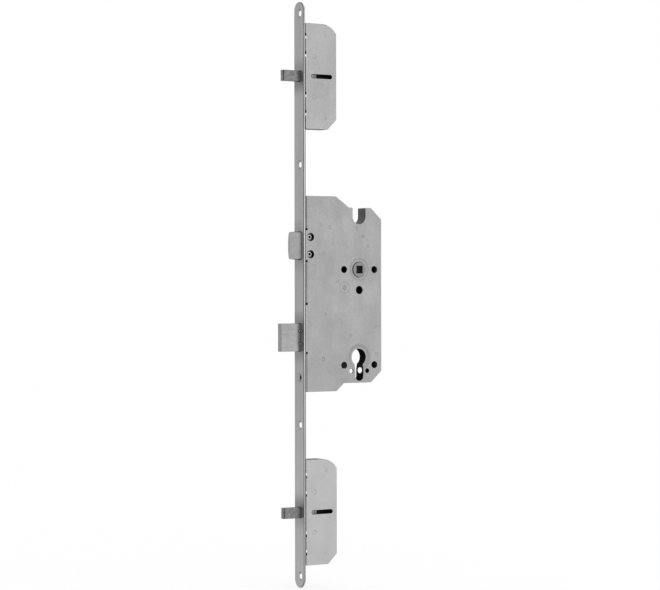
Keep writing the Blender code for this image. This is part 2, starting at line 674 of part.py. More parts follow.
def make_case_cover():
    latch_holes = [circle(latch_screw_centre(side), LATCH_ACCESS_HOLE) for side in (1, -1)]
    bend_x = CASE_FRONT + BEND_LINE
    reliefs = [circle((bend_x, z), RELIEF_HOLE, 10) for z in RELIEF_HEIGHTS]
    post = (DEADBOLT_POST_X, DEADBOLT_POST_Z)
    holes = furniture_holes() + tenon_holes([*CASE_PILLARS.values(), post]) + latch_holes + reliefs
    body = prism(case_outline(), -CASE_HALF, -INNER_HALF, holes=holes)
    first, second, third, fourth = RELIEF_HEIGHTS
    bends = ((first, CASE_TOP), (third, second), (CASE_BOTTOM, fourth))
    groove_half = BEND_GROOVE / 2
    grooves = []
    flanges = []
    for low, high in bends:
        past_low = low - FAR_PAST * (low == CASE_BOTTOM)
        past_high = high + FAR_PAST * (high == CASE_TOP)
        groove_low = (bend_x - groove_half, -CASE_HALF - FAR_PAST, past_low)
        groove_high = (bend_x + groove_half, -CASE_HALF + BEND_GROOVE, past_high)
        grooves.append(block(groove_low, groove_high))
        flange_low = (CASE_FRONT + GAP, -INNER_HALF - PLATE / 2, low + RELIEF_HOLE)
        flange_high = (CASE_FRONT + GAP + WALL, -INNER_HALF + FLANGE_DEPTH - GAP, high - RELIEF_HOLE)
        flanges.append(block(flange_low, flange_high))
    piece("case_cover", body, CASE_ZINC, join=flanges, cut=[*grooves, plate_recesses(-CASE_HALF, 1)])


def make_pillar(name, centre):
    """Turned spacer with a tenon riveted flush in each plate."""
    shoulder = INNER_HALF - GAP
    tenon = PILLAR_TENON / 2
    profile = [
        (-CASE_HALF, tenon),
        (-shoulder, tenon),
        (-shoulder, PILLAR_COLLAR / 2),
        (SLIDE_NEAR - RUNNING_GAP - GAP, PILLAR_COLLAR / 2),
        (SLIDE_NEAR - RUNNING_GAP - GAP, PILLAR / 2),
        (shoulder, PILLAR / 2),
        (shoulder, tenon),
        (CASE_HALF, tenon),
    ]
    piece(name, turned(profile, centre), INNER_STEEL)


# Follower and latch

def make_follower():
    shoulder = INNER_HALF - RUNNING_GAP
    hub = HUB_DIAMETER / 2
    collar = HUB_COLLAR / 2
    profile = [
        (-CASE_HALF, hub),
        (-shoulder, hub),
        (-shoulder, collar),
        (shoulder, collar),
        (shoulder, hub),
        (CASE_HALF, hub),
    ]
    centre = (BACKSET, 0.0)
    half_swing = FOLLOWER_SWING / 2
    arm_tip = (BACKSET - LATCH_THROW / 2, ARM_LENGTH * math.cos(half_swing))
    heel_tip = (BACKSET + HEEL_SWING, HEEL_Z)
    half_sheet = FOLLOWER_ARM_SHEET / 2
    arms = [
        prism(taper(centre, FOLLOWER_ARM_ROOT, arm_tip, FOLLOWER_ARM_NECK), -half_sheet, half_sheet),
        prism(circle(arm_tip, 2 * FOLLOWER_ARM_TIP), -half_sheet - GAP, half_sheet + GAP),
        prism(taper(centre, 2 * FOLLOWER_HEEL_NECK, heel_tip, FOLLOWER_HEEL_NECK), -half_sheet, half_sheet),
        prism(circle(heel_tip, 2 * FOLLOWER_HEEL_TIP), -half_sheet - GAP, half_sheet + GAP),
    ]
    half_spindle = SPINDLE / 2
    square = rectangle(BACKSET - half_spindle, -half_spindle, BACKSET + half_spindle, half_spindle)
    through = prism(square, -CASE_THICKNESS, CASE_THICKNESS)
    body = turned(profile, centre, sides=28)
    follower = piece("follower", body, INNER_STEEL, join=arms, cut=[through])
    carry("follower_axis", (BACKSET, 0.0, 0.0), [follower])


def make_latch_head():
    """Wedge bevelled on both sides, with a nose that bows out between top and bottom."""
    half = LATCH_THICKNESS / 2
    nose_centre = (-LATCH_REACH + LATCH_NOSE, 0.0)
    lean = math.degrees(math.asin((half - LATCH_NOSE) / LATCH_REACH))
    plan = [
        *arc(nose_centre, LATCH_NOSE, 90.0 + lean, 270.0 - lean, 6),
        (0.0, -half - GAP),
        (LATCH_REAR, -half - GAP),
        (LATCH_REAR, half + GAP),
        (0.0, half + GAP),
    ]
    chord_half = LATCH_HEIGHT / 2 + GAP
    bow = (chord_half ** 2 + LATCH_BULGE ** 2) / (2 * LATCH_BULGE)
    sweep = math.degrees(math.asin(chord_half / bow))
    bow_centre = (-LATCH_REACH + bow, LATCH_HEIGHT_POSITION)
    side = [
        (LATCH_REAR + FAR_PAST, LATCH_HEIGHT_POSITION - chord_half),
        (LATCH_REAR + FAR_PAST, LATCH_HEIGHT_POSITION + chord_half),
        *arc(bow_centre, bow, 180.0 - sweep, 180.0 + sweep, 10),
    ]
    low = LATCH_HEIGHT_POSITION - LATCH_HEIGHT
    high = LATCH_HEIGHT_POSITION + LATCH_HEIGHT
    keeps = [prism(plan, low, high, "Z"), prism(side, -LATCH_THICKNESS, LATCH_THICKNESS)]
    slot_half = CARRIER_SHEET / 2 + GAP
    slot_rise = CARRIER_HEIGHT / 2 + GAP
    cuts = [block(
        (CARRIER_FRONT - GAP, -slot_half, LATCH_HEIGHT_POSITION - slot_rise),
        (LATCH_REAR + FAR_PAST, slot_half, LATCH_HEIGHT_POSITION + slot_rise),
    )]
    for side_sign in (1, -1):
        centre = latch_screw_centre(side_sign)
        seat = -half - LATCH_SCREW_PROUD + LATCH_SCREW_HEAD_HEIGHT + GAP
        cuts.append(prism(circle(centre, LATCH_SCREW_HEAD + 2 * GAP), -LATCH_THICKNESS, seat))
        cuts.append(prism(circle(centre, LATCH_SCREW + 2 * GAP, SMALL_SIDES), seat - GAP, half - GAP * 3))
    body = prism(latch_section(0.0), -LATCH_REACH - FAR_PAST, LATCH_REAR, "X")
    return piece("latch_head", body, BOLT_STEEL, keep=keeps, cut=cuts)


def make_latch_carrier():
    low = LATCH_HEIGHT_POSITION - CARRIER_HEIGHT / 2
    high = LATCH_HEIGHT_POSITION + CARRIER_HEIGHT / 2
    stem_low = STEM_Z - CARRIER_STEM / 2
    stem_high = STEM_Z + CARRIER_STEM / 2
    hook_end = HOOK_X + CARRIER_HOOK
    outline = [
        (CARRIER_FRONT, low),
        (LATCH_REAR, low),
        (LATCH_REAR, stem_low),
        (HOOK_X, stem_low),
        (HOOK_X, stem_low - CARRIER_HOOK_DROP),
        (hook_end, stem_low - CARRIER_HOOK_DROP),
        (hook_end, stem_high),
        (LATCH_REAR, stem_high),
        (LATCH_REAR, high),
        (CARRIER_FRONT, high),
    ]
    shank = LATCH_SCREW + 2 * GAP
    holes = [circle(latch_screw_centre(side), shank, SMALL_SIDES) for side in (1, -1)]
    body = prism(outline, -CARRIER_SHEET / 2, CARRIER_SHEET / 2, holes=holes)
    return piece("latch_carrier", body, INNER_STEEL)


def make_latch_screw(name, side):
    """Button-head screw with a hexagon socket."""
    centre = latch_screw_centre(side)
    top = -LATCH_THICKNESS / 2 - LATCH_SCREW_PROUD
    under = top + LATCH_SCREW_HEAD_HEIGHT
    end = LATCH_THICKNESS / 2 - 4 * GAP
    head = LATCH_SCREW_HEAD / 2
    profile = [
        (top, head * 0.72),
        (top + LATCH_SCREW_HEAD_HEIGHT * 0.45, head),
        (under, head),
        (under, LATCH_SCREW / 2),
        (end, LATCH_SCREW / 2),
    ]
    socket = prism(circle(centre, LATCH_SCREW_SOCKET, 6), top - FAR_PAST, under - GAP)
    return piece(name, turned(profile, centre), SCREW_STEEL, cut=[socket])


def make_latch():
    pieces = [
        make_latch_head(),
        make_latch_carrier(),
        make_latch_screw("latch_screw_upper", 1),
        make_latch_screw("latch_screw_lower", -1),
    ]
    carry("latch_line", (0.0, 0.0, LATCH_HEIGHT_POSITION), pieces)


def make_springs():
    latch_start = LATCH_REAR + GAP
    latch_coil = coil(latch_start, LATCH_SPRING_LENGTH, STEM_Z, LATCH_SPRING_DIAMETER,
                      LATCH_SPRING_WIRE, LATCH_SPRING_TURNS)
    piece("latch_spring", latch_coil, SPRING_STEEL)
    follower_length = FOLLOWER_SPRING_END - FOLLOWER_SPRING_START
    follower_coil = coil(FOLLOWER_SPRING_START, follower_length, HEEL_Z, FOLLOWER_SPRING_DIAMETER,
                         FOLLOWER_SPRING_WIRE, FOLLOWER_SPRING_TURNS)
    piece("follower_spring", follower_coil, SPRING_STEEL)


def make_latch_spring_seat():
    """Bracket on the base that guides the latch stem and takes the spring's thrust."""
    half = LATCH_SPRING_DIAMETER / 2
    low = (SEAT_X, -half, STEM_Z - half - 1.0 * MM)
    high = (SEAT_X + LATCH_SEAT_SHEET, INNER_HALF - GAP, STEM_Z + half + 1.0 * MM)
    stem_half = CARRIER_STEM / 2 + RUNNING_GAP
    sheet_half = CARRIER_SHEET / 2 + RUNNING_GAP
    window_low = (SEAT_X - FAR_PAST, -sheet_half, STEM_Z - stem_half)
    window_high = (SEAT_X + FAR_PAST, sheet_half, STEM_Z + stem_half)
    piece("latch_spring_seat", block(low, high), INNER_STEEL, cut=[block(window_low, window_high)])


# Deadbolt

def chamfered_bar(reach, rear, thickness, chamfer, low, high):
    """Flat bolt with its two long front edges bevelled."""
    half = thickness / 2
    plan = [
        (-reach, -half + chamfer),
        (-reach + chamfer, -half),
        (rear, -half),
        (rear, half),
        (-reach + chamfer, half),
        (-reach, half - chamfer),
    ]
    return prism(plan, low, high, "Z")


def deadbolt_rivet_centre(side):
    return DEADBOLT_RIVET_X, DEADBOLT_HEIGHT_POSITION + side * DEADBOLT_RIVET_PITCH / 2


def make_deadbolt_head():
    low = DEADBOLT_HEIGHT_POSITION - DEADBOLT_HEIGHT / 2
    high = DEADBOLT_HEIGHT_POSITION + DEADBOLT_HEIGHT / 2
    slot_half = TAIL_SHEET / 2 + GAP
    slot_rise = TAIL_TONGUE / 2 + GAP
    cuts = [block(
        (-TAIL_TONGUE_REACH - GAP, -slot_half, DEADBOLT_HEIGHT_POSITION - slot_rise),
        (DEADBOLT_REAR + FAR_PAST, slot_half, DEADBOLT_HEIGHT_POSITION + slot_rise),
    )]
    for side in (1, -1):
        bore = circle(deadbolt_rivet_centre(side), DEADBOLT_RIVET + 2 * GAP, SMALL_SIDES)
        cuts.append(prism(bore, -DEADBOLT_THICKNESS, DEADBOLT_THICKNESS))
    body = chamfered_bar(DEADBOLT_REACH, DEADBOLT_REAR, DEADBOLT_THICKNESS, DEADBOLT_CHAMFER, low, high)
    return piece("deadbolt_head", body, BOLT_STEEL, cut=cuts)


def make_deadbolt_tail():
    """Plate behind the deadbolt, with the two teeth that the cylinder's cam works on."""
    tongue_low = DEADBOLT_HEIGHT_POSITION - TAIL_TONGUE / 2
    tongue_high = DEADBOLT_HEIGHT_POSITION + TAIL_TONGUE / 2
    shoulder = DEADBOLT_REAR + GAP
    tooth_floor = TAIL_FLOOR - TAIL_TOOTH_DEPTH
    notch_front = TAIL_NOTCH_X - TAIL_NOTCH / 2
    notch_back = TAIL_NOTCH_X + TAIL_NOTCH / 2
    outline = [
        (-TAIL_TONGUE_REACH, tongue_low),
        (shoulder, tongue_low),
        (shoulder, TAIL_FLOOR),
        (notch_front - TAIL_TOOTH, TAIL_FLOOR),
        (notch_front - TAIL_TOOTH, tooth_floor),
        (notch_front, tooth_floor),
        (notch_front, TAIL_FLOOR),
        (notch_back, TAIL_FLOOR),
        (notch_back, tooth_floor),
        (TAIL_END, tooth_floor),
        (TAIL_END, TAIL_TOP),
        (shoulder, TAIL_TOP),
        (shoulder, tongue_high),
        (-TAIL_TONGUE_REACH, tongue_high),
    ]
    post = (DEADBOLT_POST_X, DEADBOLT_POST_Z)
    post_end = (DEADBOLT_POST_X - DEADBOLT_THROW, DEADBOLT_POST_Z)
    holes = [
        stadium(post_end, post, DEADBOLT_POST + 2 * RUNNING_GAP),
        circle((DRIVE_PIN_X, DRIVE_PIN_Z), DRIVE_PIN + 2 * GAP, SMALL_SIDES),
    ]
    for side in (1, -1):
        holes.append(circle(deadbolt_rivet_centre(side), DEADBOLT_RIVET + 2 * GAP, SMALL_SIDES))
    body = prism(outline, -TAIL_SHEET / 2, TAIL_SHEET / 2, holes=holes)
    return piece("deadbolt_tail", body, INNER_STEEL)


def make_deadbolt():
    rivet_half = DEADBOLT_THICKNESS / 2
    pieces = [make_deadbolt_head(), make_deadbolt_tail()]
    pin_profile = [(-TAIL_SHEET / 2, DRIVE_PIN / 2), (SLIDE_FAR, DRIVE_PIN / 2)]
    pin = turned(pin_profile, (DRIVE_PIN_X, DRIVE_PIN_Z))
    pieces.append(piece("deadbolt_pin", pin, INNER_STEEL))
    for name, side in (("deadbolt_rivet_upper", 1), ("deadbolt_rivet_lower", -1)):
        profile = [(-rivet_half, DEADBOLT_RIVET / 2), (rivet_half, DEADBOLT_RIVET / 2)]
        rivet = turned(profile, deadbolt_rivet_centre(side))
        pieces.append(piece(name, rivet, SCREW_STEEL))
    carry("deadbolt_line", (0.0, 0.0, DEADBOLT_HEIGHT_POSITION), pieces)


def make_deadbolt_post():
    """Guide post on the cover, which the slot in the deadbolt's tail runs on."""
    profile = [
        (-CASE_HALF, PILLAR_TENON / 2),
        (-INNER_HALF + GAP, PILLAR_TENON / 2),
        (-INNER_HALF + GAP, DEADBOLT_POST / 2),
        (TAIL_SHEET / 2 + GAP, DEADBOLT_POST / 2),
    ]
    piece("deadbolt_post", turned(profile, (DEADBOLT_POST_X, DEADBOLT_POST_Z)), INNER_STEEL)


# Drive slide, rods and cams

def slide_plate(outline, holes):
    return prism(outline, SLIDE_NEAR, SLIDE_FAR, holes=holes)


def make_drive_slide():
    bar_back = SLIDE_BAR_X + SLIDE_BAR
    tongue = ROD_FRONT + GAP
    leg_front = tongue + SLIDE_TONGUE_LENGTH
    leg_floor = SLIDE_TOP - SLIDE_LEG
    outline = [
        (tongue, LOWER_TONGUE_TOP - SLIDE_LEG),
        (leg_front, LOWER_TONGUE_TOP - SLIDE_LEG),
        (leg_front, SLIDE_FLOOR),
        (SLIDE_LOWER_LEG_BACK, SLIDE_FLOOR),
        (SLIDE_LOWER_LEG_BACK, SLIDE_ZONE_FLOOR),
        (SLIDE_ZONE_BACK, SLIDE_ZONE_FLOOR),
        (SLIDE_ZONE_BACK, SLIDE_ZONE_TOP),
        (bar_back, SLIDE_ZONE_TOP),
        (bar_back, SLIDE_TOP),
        (tongue, SLIDE_TOP),
        (tongue, leg_floor),
        (SLIDE_BAR_X, leg_floor),
        (SLIDE_BAR_X, SLIDE_ZONE_TOP),
        (SLIDE_ZONE_FRONT, SLIDE_ZONE_TOP),
        (SLIDE_ZONE_FRONT, SLIDE_ZONE_FLOOR),
        (leg_front, SLIDE_ZONE_FLOOR),
        (leg_front, LOWER_TONGUE_TOP),
        (tongue, LOWER_TONGUE_TOP),
    ]
    pin = (DRIVE_PIN_X, DRIVE_PIN_Z)
    pin_end = (DRIVE_PIN_X + DEADBOLT_THROW, DRIVE_PIN_Z - SLIDE_TRAVEL)
    holes = [stadium(pin, pin_end, DRIVE_PIN + 2 * RUNNING_GAP)]
    for x, z in (UPPER_SLIDE_PILLAR, LOWER_SLIDE_PILLAR):
        holes.append(stadium((x, z - SLIDE_TRAVEL), (x, z), PILLAR + 2 * RUNNING_GAP))
    return piece("drive_slide", slide_plate(outline, holes), INNER_STEEL)


def rod_notch(low, high):
    """Cut in a rod's far edge that takes the tongue of the slide or of a cam."""
    return block(
        (0.0, SLIDE_NEAR - GAP, low - GAP),
        (CASE_BACK, CASE_THICKNESS, high + GAP),
    )


def screw_gap(height):
    """Cut that lets a rod pass a wood screw on its way up."""
    room = WOOD_SCREW_HOLE / 2 + SCREW_PASS
    return block(
        (0.0, ROD_NEAR_EDGE + ROD_RAIL, height - SLIDE_TRAVEL - room),
        (CASE_BACK, CASE_THICKNESS, height + room),
    )


def make_rod(name, low, high, cuts):
    body = block((ROD_FRONT, ROD_NEAR_EDGE, low), (ROD_BACK, SLIDE_FAR - ROD_SIDE_GAP, high))
    return piece(name, body, INNER_STEEL, cut=cuts)


def make_upper_rod():
    tongue_high = UPPER_BOX_HEIGHT - BOLT_HALF - SLIDE_TRAVEL - ROD_BOLT_GAP - ROD_END_WALL - GAP
    cuts = [
        rod_notch(SLIDE_TOP - SLIDE_LEG, SLIDE_TOP),
        rod_notch(tongue_high - CAM_LEG, tongue_high),
        screw_gap(WOOD_SCREW_HEIGHTS[1]),
    ]
    rod = make_rod("upper_rod", UPPER_ROD_FLOOR, tongue_high + GAP + ROD_END_WALL, cuts)
    cam = make_cam("upper_cam", UPPER_BOX_HEIGHT, tongue_high)
    return [rod, cam]


def make_lower_rod():
    tongue_low = LOWER_BOX_HEIGHT + BOLT_HALF + ROD_BOLT_GAP + ROD_END_WALL + GAP
    half_slot = CYLINDER_SCREW / 2 + RUNNING_GAP
    slot = stadium((0.0, CYLINDER_SCREW_Z - SLIDE_TRAVEL), (0.0, CYLINDER_SCREW_Z), 2 * half_slot)
    cuts = [
        rod_notch(LOWER_TONGUE_TOP - SLIDE_LEG, LOWER_TONGUE_TOP),
        rod_notch(tongue_low, tongue_low + CAM_LEG),
        screw_gap(WOOD_SCREW_HEIGHTS[2]),
        prism(slot, 0.0, CASE_BACK, "X"),
    ]
    rod = make_rod("lower_rod", tongue_low - GAP - ROD_END_WALL, LOWER_ROD_TOP, cuts)
    cam = make_cam("lower_cam", LOWER_BOX_HEIGHT, tongue_low + CAM_LEG)
    return [rod, cam]


def make_cam(name, height, tongue_high):
    """Plate with the slanted slot that draws an auxiliary bolt in as the rod rises."""
    tongue = ROD_FRONT + GAP
    front = tongue + SLIDE_TONGUE_LENGTH
    leg_back = front + CAM_LEG
    tongue_low = tongue_high - CAM_LEG
    floor = height - SLIDE_TRAVEL - BOLT_PIN / 2 - CAM_MARGIN
    top = height + BOLT_PIN / 2 + CAM_MARGIN
    if tongue_low > top:
        outline = [
            (front, floor), (CAM_BACK, floor), (CAM_BACK, top), (leg_back, top),
            (leg_back, tongue_high), (tongue, tongue_high), (tongue, tongue_low), (front, tongue_low),
        ]
    else:
        outline = [
            (tongue, tongue_low), (leg_back, tongue_low), (leg_back, floor), (CAM_BACK, floor),
            (CAM_BACK, top), (front, top), (front, tongue_high), (tongue, tongue_high),
        ]
    pin = (BOLT_PIN_X, height)
    pin_end = (BOLT_PIN_X + BOLT_THROW, height - SLIDE_TRAVEL)
    holes = [stadium(pin, pin_end, BOLT_PIN + 2 * GAP)]
    return piece(name, slide_plate(outline, holes), INNER_STEEL)


def make_drive():
    pieces = [make_drive_slide(), *make_upper_rod(), *make_lower_rod()]
    carry("drive_line", (UPPER_SLIDE_PILLAR[0], 0.0, UPPER_SLIDE_PILLAR[1]), pieces)


# Auxiliary bolt boxes

def make_box_base(name, height, gate_side):
    outline = box_outline(height)
    holes = tenon_holes(box_pillar_centres(height))
    cuts = [pocket(outline), rod_gate(height + gate_side * BOX_HALF_HEIGHT)]
    cuts.append(prisms(holes, 0.0, CASE_THICKNESS))
    piece(name, prism(outline, -INNER_HALF + GAP, CASE_HALF), CASE_ZINC, cut=cuts)


def edge_notch(z):
    """Notch in the front edge of a box cover, beside one of its lugs."""
    rise = BOX_NOTCH_HEIGHT / 2
    return block((CASE_FRONT - PLATE, -CASE_THICKNESS, z - rise), (CASE_FRONT + BOX_NOTCH_DEPTH, 0.0, z + rise))


def make_box_cover(name, height, gate_side):
    slot_width = BOLT_PIN + 2 * GAP
    slot = stadium((BOLT_PIN_X, height), (BOLT_PIN_X + BOLT_THROW, height), slot_width)
    bosses = [
        circle((GUIDE_BOSS_X, height + side * GUIDE_BOSS_OFFSET), GUIDE_BOSS + 2 * GAP, SMALL_SIDES)
        for side in (1, -1)
    ]
    holes = [slot, *bosses, *tenon_holes(box_pillar_centres(height))]
    body = prism(box_outline(height), -CASE_HALF, -INNER_HALF, holes=holes)
    notches = [edge_notch(height + z - gate_side * BOX_NOTCH_SHIFT) for z in BOX_LUG_OFFSETS]
    piece(name, body, CASE_ZINC, cut=notches)


def make_bolt_guide(name, height, side):
    """Block on the box cover that the bolt slides along, with a boss riveted flush."""
    near = -INNER_HALF + GAP
    ends = sorted((height + side * (BOLT_HALF + RUNNING_GAP), height + side * (BOLT_HALF + GUIDE_HEIGHT)))
    body = block((GUIDE_FRONT, near, ends[0]), (GUIDE_REAR, BOLT_THICKNESS / 2, ends[1]))
    centre = (GUIDE_BOSS_X, height + side * GUIDE_BOSS_OFFSET)
    boss = turned([(-CASE_HALF, GUIDE_BOSS / 2), (0.0, GUIDE_BOSS / 2)], centre)
    piece(name, body, INNER_STEEL, join=[boss])


def make_auxiliary_bolt(prefix, height):
    bore = circle((BOLT_PIN_X, height), BOLT_PIN + 2 * GAP, SMALL_SIDES)
    body = chamfered_bar(BOLT_REACH, BOLT_REAR, BOLT_THICKNESS, BOLT_CHAMFER,
                         height - BOLT_HALF, height + BOLT_HALF)
    through = prism(bore, -CASE_THICKNESS, CASE_THICKNESS)
    bolt = piece(prefix + "_bolt", body, DARK_BOLT_STEEL, cut=[through])
    profile = [(-CASE_HALF + GAP, BOLT_PIN / 2), (SLIDE_FAR, BOLT_PIN / 2)]
    pin = piece(prefix + "_bolt_pin", turned(profile, (BOLT_PIN_X, height)), SCREW_STEEL)
    carry(prefix + "_bolt_line", (0.0, 0.0, height), [bolt, pin])


def make_bolt_box(prefix, height, gate_side):
    make_box_base(prefix + "_box_base", height, gate_side)
    make_box_cover(prefix + "_box_cover", height, gate_side)
    for place_name, side in (("top", 1), ("bottom", -1)):
        make_bolt_guide(f"{prefix}_guide_{place_name}", height, side)
    for place_name, centre in zip(("top", "bottom"), box_pillar_centres(height)):
        make_pillar(f"{prefix}_pillar_{place_name}", centre)
    make_auxiliary_bolt(prefix, height)


def main():
    clear_scene()
    make_forend()
    make_cylinder_screw()
    make_case_base()
    make_case_cover()
    for name, centre in CASE_PILLARS.items():
        make_pillar(name, centre)
    make_follower()
    make_latch()
    make_springs()
    make_latch_spring_seat()
    make_deadbolt()
    make_deadbolt_post()
    make_drive()
    make_bolt_box("upper", UPPER_BOX_HEIGHT, -1)
    make_bolt_box("lower", LOWER_BOX_HEIGHT, 1)


main()
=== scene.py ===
"""Looks of a three-point mortise lock: a long forend, the main lock case and two bolt boxes.

X runs into the door from the front of the forend, Y across the door leaf and Z up, in metres.
"""
import math

import bpy
from mathutils import Matrix, Vector


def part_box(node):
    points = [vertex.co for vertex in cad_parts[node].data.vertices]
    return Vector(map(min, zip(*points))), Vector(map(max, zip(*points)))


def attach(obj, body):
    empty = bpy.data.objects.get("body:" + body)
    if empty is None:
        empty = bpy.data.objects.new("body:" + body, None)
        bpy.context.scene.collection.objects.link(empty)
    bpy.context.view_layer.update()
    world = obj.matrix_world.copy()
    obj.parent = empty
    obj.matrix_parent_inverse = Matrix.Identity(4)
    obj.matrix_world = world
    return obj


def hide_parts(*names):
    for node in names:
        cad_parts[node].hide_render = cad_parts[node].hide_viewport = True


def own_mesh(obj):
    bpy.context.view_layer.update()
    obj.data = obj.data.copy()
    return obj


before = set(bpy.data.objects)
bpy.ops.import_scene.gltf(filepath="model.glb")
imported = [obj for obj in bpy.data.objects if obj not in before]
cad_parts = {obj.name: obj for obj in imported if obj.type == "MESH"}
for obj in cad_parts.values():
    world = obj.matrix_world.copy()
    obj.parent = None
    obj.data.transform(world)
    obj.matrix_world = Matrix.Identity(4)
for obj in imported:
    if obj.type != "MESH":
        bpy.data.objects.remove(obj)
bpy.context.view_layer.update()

bl_info = {
    "name": "Mortise lock",
    "version": (1, 0, 0),
    "blender": (4, 5, 0),
    "location": "View3D > Sidebar > Mortise lock",
    "description": "Models the forend, cases, bolts and screws of a three-point mortise lock",
    "category": "Object",
}

MM = 0.001
# Tolerances for comparing places and for closing seams
NEAR = 1e-6
SEAM = 1e-7
# How far a face's normal goes along a direction that the face looks in
FACING = 0.9


def mm(*values):
    """Millimetres, in metres."""
    return tuple(value * MM for value in values)


def in_mm(pairs):
    """Pairs of millimetres, in metres."""
    return [mm(*pair) for pair in pairs]


# Forend
FOREND_HALF = 9.0 * MM
FOREND_BACK = 3.0 * MM
FOREND_LIP = 1.7 * MM
FOREND_STEP = 1.5 * MM
FOREND_ENDS = mm(-330.0, 277.0)
WOOD_SCREWS = mm(265.25, 108.5, -161.3, -318.25)
WOOD_SCREW_SINK = mm(5.2, 2.9)
CYLINDER_SCREW_Z = -112.2 * MM
CYLINDER_SCREW_SINK = mm(4.9, 2.8)
SINK_FLARE = 0.2 * MM
SINK_BACK = 2.3 * MM
SINK_BACK_ROOM = 1.0 * MM
OPENING_HALF = 6.0 * MM
OPENING_CORNER = 0.7 * MM
LATCH_OPENING_CORNER = 0.5 * MM
# Painted shade of the bolts on the forend, as its tone just above and below the latch, the deadbolt and the
# upper and lower bolt, how far this painted shade reaches, and the brighter tone of its lower part, which is
# painted light
FOREND_PAINTED_SHADOWS = ((0.8, 0.8), (0.66, 0.7), (0.75, 0.58), (0.6, 0.88))
PAINTED_SHADOW_REACH = 17.0 * MM
PAINTED_SHADOW_INSIDE = 3.0 * MM
LOWER_PAINTED_LIGHT = 1.12

# Case plates and walls
SIDE = 7.5 * MM
INNER = 5.7 * MM
# Where the cutters for holes end inside, and how far past the plate that of the cylinder hole begins
THROUGH = 4.7 * MM
CUT_PAST = 3.0 * MM
RIM = 5.4 * MM
WALL = 1.8 * MM
CORNER = 1.3 * MM
OPEN_FRONT = 4.0 * MM
CASE_OUTLINE = in_mm((
    (3.3, -127.0), (41.5, -127.0), (50.8, -118.8), (84.8, -118.8), (98.0, -106.7),
    (98.0, 52.8), (84.8, 64.9), (78.0, 64.9),
))
CASE_OUTLINE_TOP = in_mm(((62.0, 64.9), (57.5, 64.9), (41.0, 76.2), (3.3, 76.2)))
NOTCH = mm(70.0, 55.7)
NOTCH_RADIUS = 8.0 * MM
HANDLE = (70.0 * MM, 0.0)
CYLINDER = mm(70.0, -92.0)
BORE_RADIUS = 8.3 * MM
CYLINDER_ROUND = 8.9 * MM
CYLINDER_SLOT = 5.15 * MM
CYLINDER_FOOT = -111.75 * MM
CASE_HOLES = [((x * MM, z * MM), r * MM) for x, z, r in (
    (51.0, 0.0, 3.7), (89.0, 0.0, 3.7), (70.0, -21.5, 4.3), (51.0, -100.2, 3.7),
    (89.0, -100.2, 3.7), (60.1, -106.3, 2.5), (79.9, -106.3, 2.5),
)]
# Recesses: centre, radius and share of the full depth
RECESSES = ((HANDLE, 12.2 * MM, 0.4), (CYLINDER, 14.9 * MM, 1.0))
# Slope of a recess's edge, down and inwards, in depths
RECESS_SLOPE = ((-0.02, -0.2), (0.06, 0.8), (0.25, 1.7), (0.6, 2.8), (0.88, 3.8), (1.0, 4.8))
# How much wider the far plate's cylinder hole and the holes behind it are
FAR_ROOM = 0.7 * MM
LATCH_ACCESS = 4.3 * MM
BEND_X = 4.8 * MM
BEND_RELIEFS = mm(41.7, 8.6, -35.7, -86.5)
# Grooves between the reliefs, of which the outer two run past the ends of the plate
BEND_LINES = (mm(41.7, 77.2), mm(-35.7, 8.6), mm(-128.0, -86.5))
RELIEF_RADIUS = 1.3 * MM
# Passage of a rod through an end wall: back, far side and half height
ROD_GATE = mm(5.65, 5.55, 4.0)
PRESS_MARKS = in_mm(((22.5, 46.4), (66.7, 43.2), (80.8, 24.4), (25.7, 16.3), (27.9, -46.6), (90.2, -60.4)))
PRESS_MARK_RADIUS = 2.0 * MM
PRESS_RING = mm(51.5, -19.0)
PRESS_RING_SIZE = mm(5.8, 1.0)
PRESS_RING_DISH = 2.4 * MM

# Rivet ends of the pillars
TENON_RADIUS = 1.6 * MM
TENON_PLAY = 0.06 * MM
BOX_TENON_PLAY = 0.02 * MM
BREAK_EDGE = 0.12 * MM
COLLAR_END = 3.3 * MM
COLLAR_STEP = 0.5 * MM
POST_CHAMFER = 0.4 * MM
CASE_PILLARS = ("pillar_top", "pillar_spring", "pillar_back", "pillar_slide_upper", "pillar_slide_lower")
BOX_PILLARS = ("upper_pillar_top", "upper_pillar_bottom", "lower_pillar_top", "lower_pillar_bottom")

# Bolt boxes
BOXES = {"upper": 200.2 * MM, "lower": -251.9 * MM}
DROP = (0.0, 0.0, BOXES["lower"] - BOXES["upper"])
BOX_BACK = 41.65 * MM
BOX_FRONT = 3.3 * MM
BOX_HALF = 54.8 * MM
BOX_ROUNDING = 21.2 * MM
BOX_ROUNDING_RUN = 18.0 * MM
BOX_CHAMFER = 10.6 * MM
PIN_X = 12.6 * MM
PIN_RADIUS = 2.0 * MM
PIN_SLOT = 2.3 * MM
BOLT_THROW = 21.6 * MM
SHOE_ENDS = mm(10.5, 18.1)
SHOE_TOP = -5.6 * MM
SHOE_FOOT = -3.8 * MM
SHOE_RISE = 2.6 * MM
SHOE_ROUNDING = 0.3 * MM
SHOE_GROOVES = mm(13.6, 15.4, 17.2)
SHOE_GROOVE_HALF = 0.3 * MM
SHOE_GROOVE_DEPTH = 0.7 * MM
GUIDE_BOSS_X = 14.2 * MM
GUIDE_BOSS = 2.3 * MM
GUIDE_BREAK_EDGE = 0.15 * MM
GUIDE_DISH = 3.4 * MM
GUIDE_OFFSET = 21.0 * MM
BOX_EDGE = 3.8 * MM
BOX_LUGS = mm(39.8, 21.0, -20.8, -39.9)
LUG_RISE = 1.3 * MM
LUG_BACK = 4.5 * MM
PAD_RISE = 0.3 * MM
PAD_DEPTH = 0.8 * MM
PAD_ROUNDING = 0.25 * MM
NOTCH_SHIFT = 3.1 * MM
NOTCH_RISE = 1.2 * MM
NOTCH_BACK = 4.7 * MM
NOTCH_CORNER = 0.5 * MM

